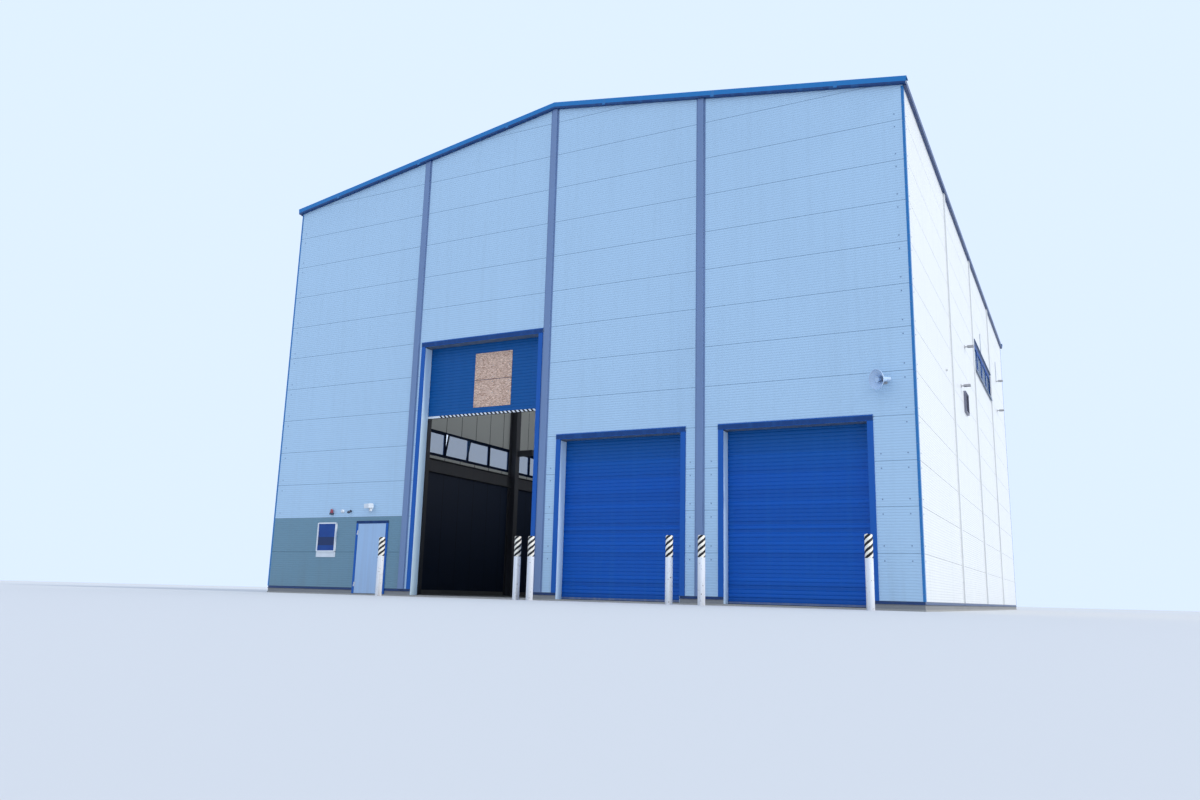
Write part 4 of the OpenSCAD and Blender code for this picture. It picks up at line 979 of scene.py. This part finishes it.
# Side door
# A flat coated steel leaf with folded edges, on two hinges in a blue frame, with a rubber seal
# in the rebate, a black lever on a long plate on each face, and a bare steel threshold.
LEAF_RIM = 0.022
LEAF_EDGE = 0.003
HANDLE_IN = 0.07
HANDLE_Z = 1.05
PLATE_T = 0.008
leaf_sheet = smooth_coat("leaf_sheet", (0.40, 0.58, 0.82), (0.30, 0.36, 0.46), 0.42, 0.3, 0.5)
hinge_steel = smooth_coat("hinge_steel", (0.6, 0.65, 0.72), (0.35, 0.35, 0.35), 0.35)
black_plastic = smooth_coat("black_lever", (0.012, 0.012, 0.014), (0.05, 0.05, 0.05), 0.4, 0.1, 0.0)
dress(hinge_steel, "side_door_hinges", "side_door_pins")
leaf_low, leaf_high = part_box("side_door_leaf")
leaf_size = leaf_high - leaf_low
leaf_middle = (leaf_low + leaf_high) / 2
leaf = start_block("door_leaf", leaf_size)
soften(LEAF_EDGE)
for side in ("front", "rear"):
    inset_side(side, (LEAF_RIM - LEAF_EDGE, 0), (0.002, -0.0015))
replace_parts(settle(put(leaf, leaf_middle), leaf_sheet, body="side_door"), "side_door_leaf")

lever_plate = start_block("lever_plate", (0.045, 0.22, PLATE_T))
bevel_edges(0.018, 4, axis="z")
inset_side("up", (0.003, 0.0015))
put(lever_plate, (0, -0.065, PLATE_T / 2))
lever = round_part("lever", 0.012, 16, (0.03, 1.0), (0.006, 0.9), (0.02, 1.0))
pick_faces(lambda middle, normal: normal.x < -0.9 and middle.z > 0.037)
for slide, scale in (((-0.03, 0, 0), (1, 2.2, 0.8)), ((-0.085, 0, -0.004), (1, 0.8, 0.8))):
    bpy.ops.mesh.extrude_region_move(TRANSFORM_OT_translate={"value": slide})
    bpy.ops.transform.resize(value=scale)
keyhole = put(round_part("key_barrel", 0.009, 16, (0.012, 1.0), (0.002, 0.9)), (0, -0.11, 0))
outer_set = join_pieces("door_levers", [lever_plate, lever, keyhole])
inner_set = outer_set.copy()
inner_set.data = outer_set.data.copy()
bpy.context.collection.objects.link(inner_set)
put(outer_set, (leaf_high.x - HANDLE_IN, leaf_low.y, HANDLE_Z), FACING["front"])
put(inner_set, (leaf_high.x - HANDLE_IN, leaf_high.y, HANDLE_Z), FACING["front"])
inner_set.scale = (1, 1, -1)
levers = join_pieces("door_levers", [outer_set, inner_set])
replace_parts(settle(levers, black_plastic, body="side_door"), "side_door_handles")

SEAL_W = 0.012
SEAL_T = 0.004
SEAL_IN = 0.008
SEAL_BEHIND = 0.005
SILL_T = 0.004
side_seal = (SEAL_W, SEAL_T, leaf_size.z - 0.02)
head_seal = (leaf_size.x - 0.03, SEAL_T, SEAL_W)
seals = []
for size, across, height in (
    (side_seal, leaf_low.x + SEAL_IN, leaf_middle.z),
    (side_seal, leaf_high.x - SEAL_IN, leaf_middle.z),
    (head_seal, leaf_middle.x, leaf_high.z - SEAL_IN),
):
    seal = start_block("door_seal", size)
    soften(0.0015)
    seals.append(put(seal, (across, leaf_high.y + SEAL_BEHIND, height)))
settle(join_pieces("door_seals", seals), rubber)
sill = start_block("door_threshold", (leaf_size.x, 0.09, SILL_T))
bevel_edges(0.003, 2, axis="x", side="up")
put(sill, (leaf_middle.x, leaf_middle.y + 0.03, SLAB_H + SILL_T / 2))
settle(sill, zinc_sheet)

# Windows
# Coated blue frames with four casements each, a grey blue hood and sill, and thin dusty panes
# with a blue tint, darkened further as painted reflection of trees.
# Painted reflection: the panes' dark blue is partly tint and partly the trees they reflect.
PANE_TINT_AND_REFLECTION = (0.04, 0.15, 0.34, 1)
PANE_ROUGH = 0.04


def window_finish():
    """Blue coated profile outside, and inside a near-black navy that is painted shade."""
    paint, tree = new_material("window_sheet", 0.4, gloss=0.25)
    inside = effect(tree, inner_side)["Inside"]
    plain = mix(tree, inside, (0.004, 0.075, 0.36), (0.003, 0.012, 0.045))
    return rain_over(paint, plain, (0.02, 0.08, 0.25), streaks=0.25)


def pane_finish():
    """Thin tinted glass, darkened as painted reflection of trees, a little rougher where dust and rain have
    dried.
    """
    paint, tree = new_material("clear_glass", PANE_ROUGH, gloss=0.2)
    shader = tree.nodes["Principled BSDF"]
    shader.inputs["IOR"].default_value = 1.45
    shader.inputs["Alpha"].default_value = 0.42
    dust = add_math(tree, "MULTIPLY", effect(tree, weather, Streaks=0.3, Splash=0.0)["Mask"], 0.4)
    feed(tree, shader.inputs["Roughness"], add_math(tree, "ADD", dust, PANE_ROUGH))
    return cover(paint, PANE_TINT_AND_REFLECTION)


dress(window_finish(), "window_frames", "window_casements")
dress(smooth_coat("hood_sheet", (0.14, 0.2, 0.32), (0.3, 0.3, 0.32), 0.4), "window_sills")
dress(pane_finish(), "window_glass")

# Notice board
# A shallow white case with rounded corners round a bare blue face, and a pale box under it,
# both screwed to the wall beside the door.
NOTICE_BOX_H = 0.15
NOTICE_BAND = (0.34, 0.58)
notice_low, notice_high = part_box("notice_board")
notice_size = notice_high - notice_low
notice_middle = (notice_low + notice_high) / 2
white_case = smooth_coat("white_case", (0.80, 0.84, 0.88), (0.5, 0.5, 0.5), 0.4)


def notice_finish():
    """A bare blue sheet with a darker band across it, behind a clear sheet."""
    paint, tree = new_material("notice_face", 0.3, 0.05, 0.25)
    band = between(tree, object_axes(tree)["Z"], *(notice_low.z + edge for edge in NOTICE_BAND))
    blue = mix(tree, add_noise(tree, 3.0, 2.0), (0.004, 0.035, 0.20), (0.012, 0.085, 0.34))
    return cover(paint, mix(tree, band, blue, (0.012, 0.035, 0.12)))


case = start_block("notice_case", (notice_size.x, notice_size.y, notice_size.z - NOTICE_BOX_H))
bevel_edges(0.045, 5, axis="y")
inset_side("front", (0.038, 0), (0.003, -0.014))
coat_part(
    case, white_case, notice_finish(),
    lambda middle, normal: normal.y < -0.9 and middle.xz.length < 0.1,
)
put(case, notice_middle + Vector((0, 0, NOTICE_BOX_H / 2)))
tray = start_block("notice_tray", (notice_size.x, notice_size.y / 2, NOTICE_BOX_H - 0.004))
inset_side("front", (0.012, -0.004))
bevel_edges(0.008, 3, axis="y")
tray_place = (notice_middle.x, notice_high.y - notice_size.y / 4, notice_low.z + NOTICE_BOX_H / 2)
put(tray, tray_place, material=white_case)
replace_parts(settle(join_pieces("notice_case", [case, tray])), "notice_board")

# Door lamp
# A white lamp box on a wall plate, with a recessed dark pane in its underside and a small
# round sensor below.
MOUNT_DEEP = 0.05
LAMP_TURN = (math.radians(6), 0, math.radians(-14))
lamp_low, lamp_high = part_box("door_lamp")
dark_pane = smooth_coat("dark_pane", (0.08, 0.10, 0.14), (0.1, 0.1, 0.1), 0.15, 0.2, 0.0, 0.8)
mount = start_block("lamp_mount", (0.12, MOUNT_DEEP, 0.13))
soften(0.008, 3)
put(mount, (0, -MOUNT_DEEP / 2, 0), material=white_case)
head = start_block("lamp_head", (0.22, 0.17, 0.13))
bevel_edges(0.03, 4, axis="x", side="up")
inset_side("down", (0.012, 0), (0.002, -0.012))
inset_side("left", (0.015, 0), (0.002, -0.006))


def is_pane(middle, normal):
    """The innermost faces of the lamp's underside and of its left end."""
    return (normal.z < -0.9 and abs(middle.x) < 0.02) or (normal.x < -0.9 and abs(middle.y) < 0.02)


coat_part(head, white_case, dark_pane, is_pane)
put(head, (0, -0.125, 0.03), LAMP_TURN)
ball = round_part(
    "lamp_sensor", 0.022, 20,
    (0.04, 1.0), (0.010, 1.6), (0.014, 1.25), (0.022, 1.0), (0.014, 0.82), (0.010, 0.6), (0.003, 0.4),
)
put(ball, (0.07, -0.11, -0.02), FACING["down"], white_case)
lamp = join_pieces("yard_lamp", [mount, head, ball])
put(lamp, ((lamp_low.x + lamp_high.x) / 2, -HALF_D, (lamp_low.z + lamp_high.z) / 2))
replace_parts(settle(lamp), "door_lamp")

# Wall sensors
# Three small devices in a row on foot plates: a red warning light, a white sounder and a
# dark sensor.
BEACON_X = -7.10
SOUNDER_X = -6.71
SPOTTER_X = -6.41
FITTING_Z = 2.37
SPOTTER_TURN = (math.radians(112), 0, math.radians(-10))
red_lens = smooth_coat("red_lens", (0.30, 0.04, 0.07), (0.3, 0.2, 0.2), 0.2, 0.2, 0.0, 0.8)
dark_housing = smooth_coat("dark_housing", (0.05, 0.06, 0.10), (0.1, 0.1, 0.1), 0.5)
beacon = round_part(
    "warning_light", 0.05, 24,
    (0.02, 1.0), (0.0, 0.84), (0.03, 1.0), (0.03, 0.96), (0.022, 0.84), (0.012, 0.6),
)
put(beacon, (0, -0.055, -0.045), material=red_lens)
foot = start_block("warning_light_foot", (0.09, 0.10, 0.05))
soften(0.008)
put(foot, (0, -0.05, -0.07), material=dark_housing)
beacon = put(join_pieces("warning_light", [beacon, foot]), (BEACON_X, -HALF_D, FITTING_Z))
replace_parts(settle(beacon), "wall_sensors")
sounder = round_part(
    "sounder", 0.055, 24,
    (0.012, 1.0), (0.0, 0.86), (0.035, 0.97), (0.012, 0.86), (0.0, 0.7), (-0.008, 0.95), (0.016, 0.5),
)
put(sounder, (SOUNDER_X, -HALF_D, FITTING_Z), FACING["front"])
settle(sounder, white_case)
spotter = round_part(
    "spotter", 0.04, 20,
    (0.01, 1.0), (0.0, 0.5), (0.035, 1.0), (0.004, 1.8), (0.06, 1.0), (0.01, 0.86), (-0.008, 0.8),
)
put(spotter, (SPOTTER_X, -HALF_D, FITTING_Z), SPOTTER_TURN)
settle(spotter, dark_housing)

# Horn speaker
# A spun sheet bell with a folded inner cone and a driver behind it, on a strap from the wall.
# It is turned towards the yard.
HORN_PLACE = Vector((8.75, -13.13, 4.97))
HORN_TURN = (math.radians(98), 0, math.radians(-36))
BELL = ((0.06, 1.10), (0.05, 1.20), (0.045, 1.30), (0.035, 1.35), (0.03, 1.33), (0.03, 1.22), (0.03, 1.11))
BELL_LIP = ((0.006, 1.02), (0.0, 1.015), (-0.008, 1.0))
STRAP = ((0, -0.22), (0.03, -0.03), (0.08, 0), (0.03, 0.03), (0, 0.22))
STRAP_PLATE_T = 0.006
horn_sheet = smooth_coat("horn_sheet", (0.55, 0.71, 0.92), (0.3, 0.33, 0.38), 0.4)
bell = round_part("horn_bell", 0.052, 32)
bpy.ops.mesh.delete(type="ONLY_FACE")
bpy.ops.mesh.select_mode(type="EDGE")
bpy.ops.mesh.select_all(action="SELECT")
raise_rings(*BELL, *BELL_LIP)
put(bell, (0, 0, -0.15))
give_gauge(bell, 0.004, -1)
cone = round_part(
    "horn_cone", 0.03, 32,
    (0.03, 1.1), (0.03, 1.25), (0.025, 1.25), (0.02, 1.15), (0.004, 1.02), (0.0, 0.92), (-0.02, 0.55),
)
put(cone, (0, 0, 0.005))
driver = round_part(
    "horn_driver", 0.04, 24,
    (0.008, 1.2), (0.09, 1.0), (0.0, 1.12), (0.02, 1.0), (0.0, 0.88), (0.01, 1.0),
)
put(driver, (0, 0, -0.27))
horn = put(join_pieces("horn_bell", [bell, cone, driver]), HORN_PLACE, HORN_TURN)
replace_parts(settle(horn, horn_sheet), "horn_speaker")
strap = fold_sheet("horn_strap", (-0.07, 0), STRAP, -0.02, 0.02, 0.005)
put(strap, (HORN_PLACE.x, -HALF_D, HORN_PLACE.z))
strap_plate = start_block("horn_plate", (0.18, STRAP_PLATE_T, 0.12))
soften(0.002)
put(strap_plate, (HORN_PLACE.x, -HALF_D - STRAP_PLATE_T / 2, HORN_PLACE.z))
settle(join_pieces("horn_strap", [strap, strap_plate]), zinc_sheet)

# Side lamps and vent
# Lamp heads on short arms on the right wall, with a dark pane below, and thin cable pipes up
# to them. The vent has folded louvres of bare sheet.
SIDE_LAMPS = ((-2.65, 8.25), (-4.25, 6.63), (9.10, 9.65), (8.80, 8.30))
LAMP_PLATE_T = 0.012
KNOB_SPOT = (-7.61, 6.37)
PIPES = ((2.70, 9.32, 0.75), (9.10, 9.70, 0.80))
PIPE_OUT = 0.016
SADDLE_IN = 0.15
grey_case = smooth_coat("grey_case", (0.42, 0.41, 0.42), (0.2, 0.2, 0.2), 0.45)
dress(smooth_coat("vent_sheet", (0.22, 0.22, 0.29), (0.2, 0.2, 0.22), 0.5), "side_vent")
lamp_plate = start_block("side_lamp_plate", (LAMP_PLATE_T, 0.10, 0.10))
soften(0.003)
put(lamp_plate, (LAMP_PLATE_T / 2, 0, 0), material=grey_case)
lamp_arm = put(round_part("side_lamp_arm", 0.017, 16, (0.09, 1.0)), (0, 0, 0), FACING["right"], grey_case)
lamp_head = start_block("side_lamp_head", (0.20, 0.14, 0.065))
bevel_edges(0.02, 3, side="up")
inset_side("down", (0.01, 0), (0.002, -0.01))
coat_part(lamp_head, grey_case, dark_pane, lambda middle, normal: normal.z < -0.9 and abs(middle.x) < 0.02)
put(lamp_head, (0.178, 0, 0.005))
side_lamp = join_pieces("side_lamp_set", [lamp_plate, lamp_arm, lamp_head])
lamp_spots = [((HALF_W, along, height), (0, 0, 0)) for along, height in SIDE_LAMPS]
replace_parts(settle(scatter(side_lamp, lamp_spots)), "side_lamps")
knob = round_part("wall_knob", 0.045, 20, (0.02, 1.0), (0.0, 0.85), (0.025, 0.95), (0.008, 0.75))
# The knob takes the side strips' sunlit white, which is painted sunlight.
settle(put(knob, *on_wall("right", *KNOB_SPOT)), side_strip_sunlit_sheet)
pipes = []
for along, height, length in PIPES:
    pipe = round_part("cable_pipe", 0.014, 12, (0.01, 1.0), (length, 1.0), (0.006, 0.8))
    pipes.append(put(pipe, (HALF_W + PIPE_OUT, along, height)))
    for rise in (SADDLE_IN, length - SADDLE_IN):
        saddle = start_block("pipe_saddle", (0.03, 0.05, 0.02))
        bevel_edges(0.008, 2, side="right")
        pipes.append(put(saddle, (HALF_W + 0.015, along, height + rise)))
settle(join_pieces("cable_pipes", pipes), hinge_steel)

# Guard posts
# Steel tubes set in the yard before each doorway, with a welded domed cap. They are painted
# white, with slanting black and pale yellow stripes round the top half metre.
GUARD_R = 0.085
GUARD_Y = -13.85
GUARD_SIDES = {"tall_shutter": 0.255, "middle_shutter": 0.16, "right_shutter": 0.16}
STRIPE_RISE = 0.137
STRIPE_TURNS = 3.0
STRIPE_LOW = 1.05


def guard_finish():
    """White paint, with stripes that wind round the top, chipped and splashed below."""
    paint, tree = new_material("guard_paint", 0.45, gloss=0.3)
    wrap = add_node(tree, "UVMap")
    wrap.uv_map = "wrap"
    axes = add_node(tree, "SeparateXYZ", Vector=wrap.outputs["UV"]).outputs
    rise = add_math(tree, "DIVIDE", axes["Y"], STRIPE_RISE)
    turn = add_math(tree, "MULTIPLY", axes["X"], STRIPE_TURNS)
    phase = add_math(tree, "FRACT", add_math(tree, "SUBTRACT", rise, turn))
    band = add_math(tree, "GREATER_THAN", phase, 0.51)
    top = add_math(tree, "GREATER_THAN", axes["Y"], STRIPE_LOW)
    soiling = effect(tree, weather, Streaks=0.35, Splash=0.8)
    chips = add_math(tree, "GREATER_THAN", add_noise(tree, 26.0, 6.0), 0.66)
    pale = mix(tree, top, (0.90, 0.92, 0.95), (0.97, 0.91, 0.78))
    worn = mix(tree, chips, pale, (0.22, 0.17, 0.14))
    worn = mix(tree, soiling["Mask"], worn, (0.30, 0.28, 0.27))
    striped = mix(tree, add_math(tree, "MULTIPLY", band, top), worn, STRIPE_BLACK)
    return cover(paint, striped, soiling["Cloud"], 0.004)


post = round_part(
    "guard_tubes", GUARD_R, 32,
    (0.5, 1.0), (0.5, 1.0), (0.51, 1.0), (0.004, 0.97),
    (0.006, 1.02), (0.014, 0.94), (0.01, 0.8), (0.006, 0.5),
)
close_edit()
for layer in list(post.data.uv_layers):
    post.data.uv_layers.remove(layer)
wrap = post.data.uv_layers.new(name="wrap")
for face in post.data.polygons:
    facing = math.atan2(face.center.y, face.center.x)
    for corner in face.loop_indices:
        spot = post.data.vertices[post.data.loops[corner].vertex_index].co
        angle = math.atan2(spot.y, spot.x)
        angle += 2 * math.pi * round((facing - angle) / (2 * math.pi))
        wrap.data[corner].uv = (angle / (2 * math.pi), spot.z)
post_spots = []
for node, low, high, middle, clear, head in each_doorway():
    for side in (-1, 1):
        across = middle + side * (clear / 2 + GUARD_SIDES[node])
        post_spots.append(((across, GUARD_Y, 0), (0, 0, 0)))
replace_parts(settle(scatter(post, post_spots), guard_finish()), "guard_posts")
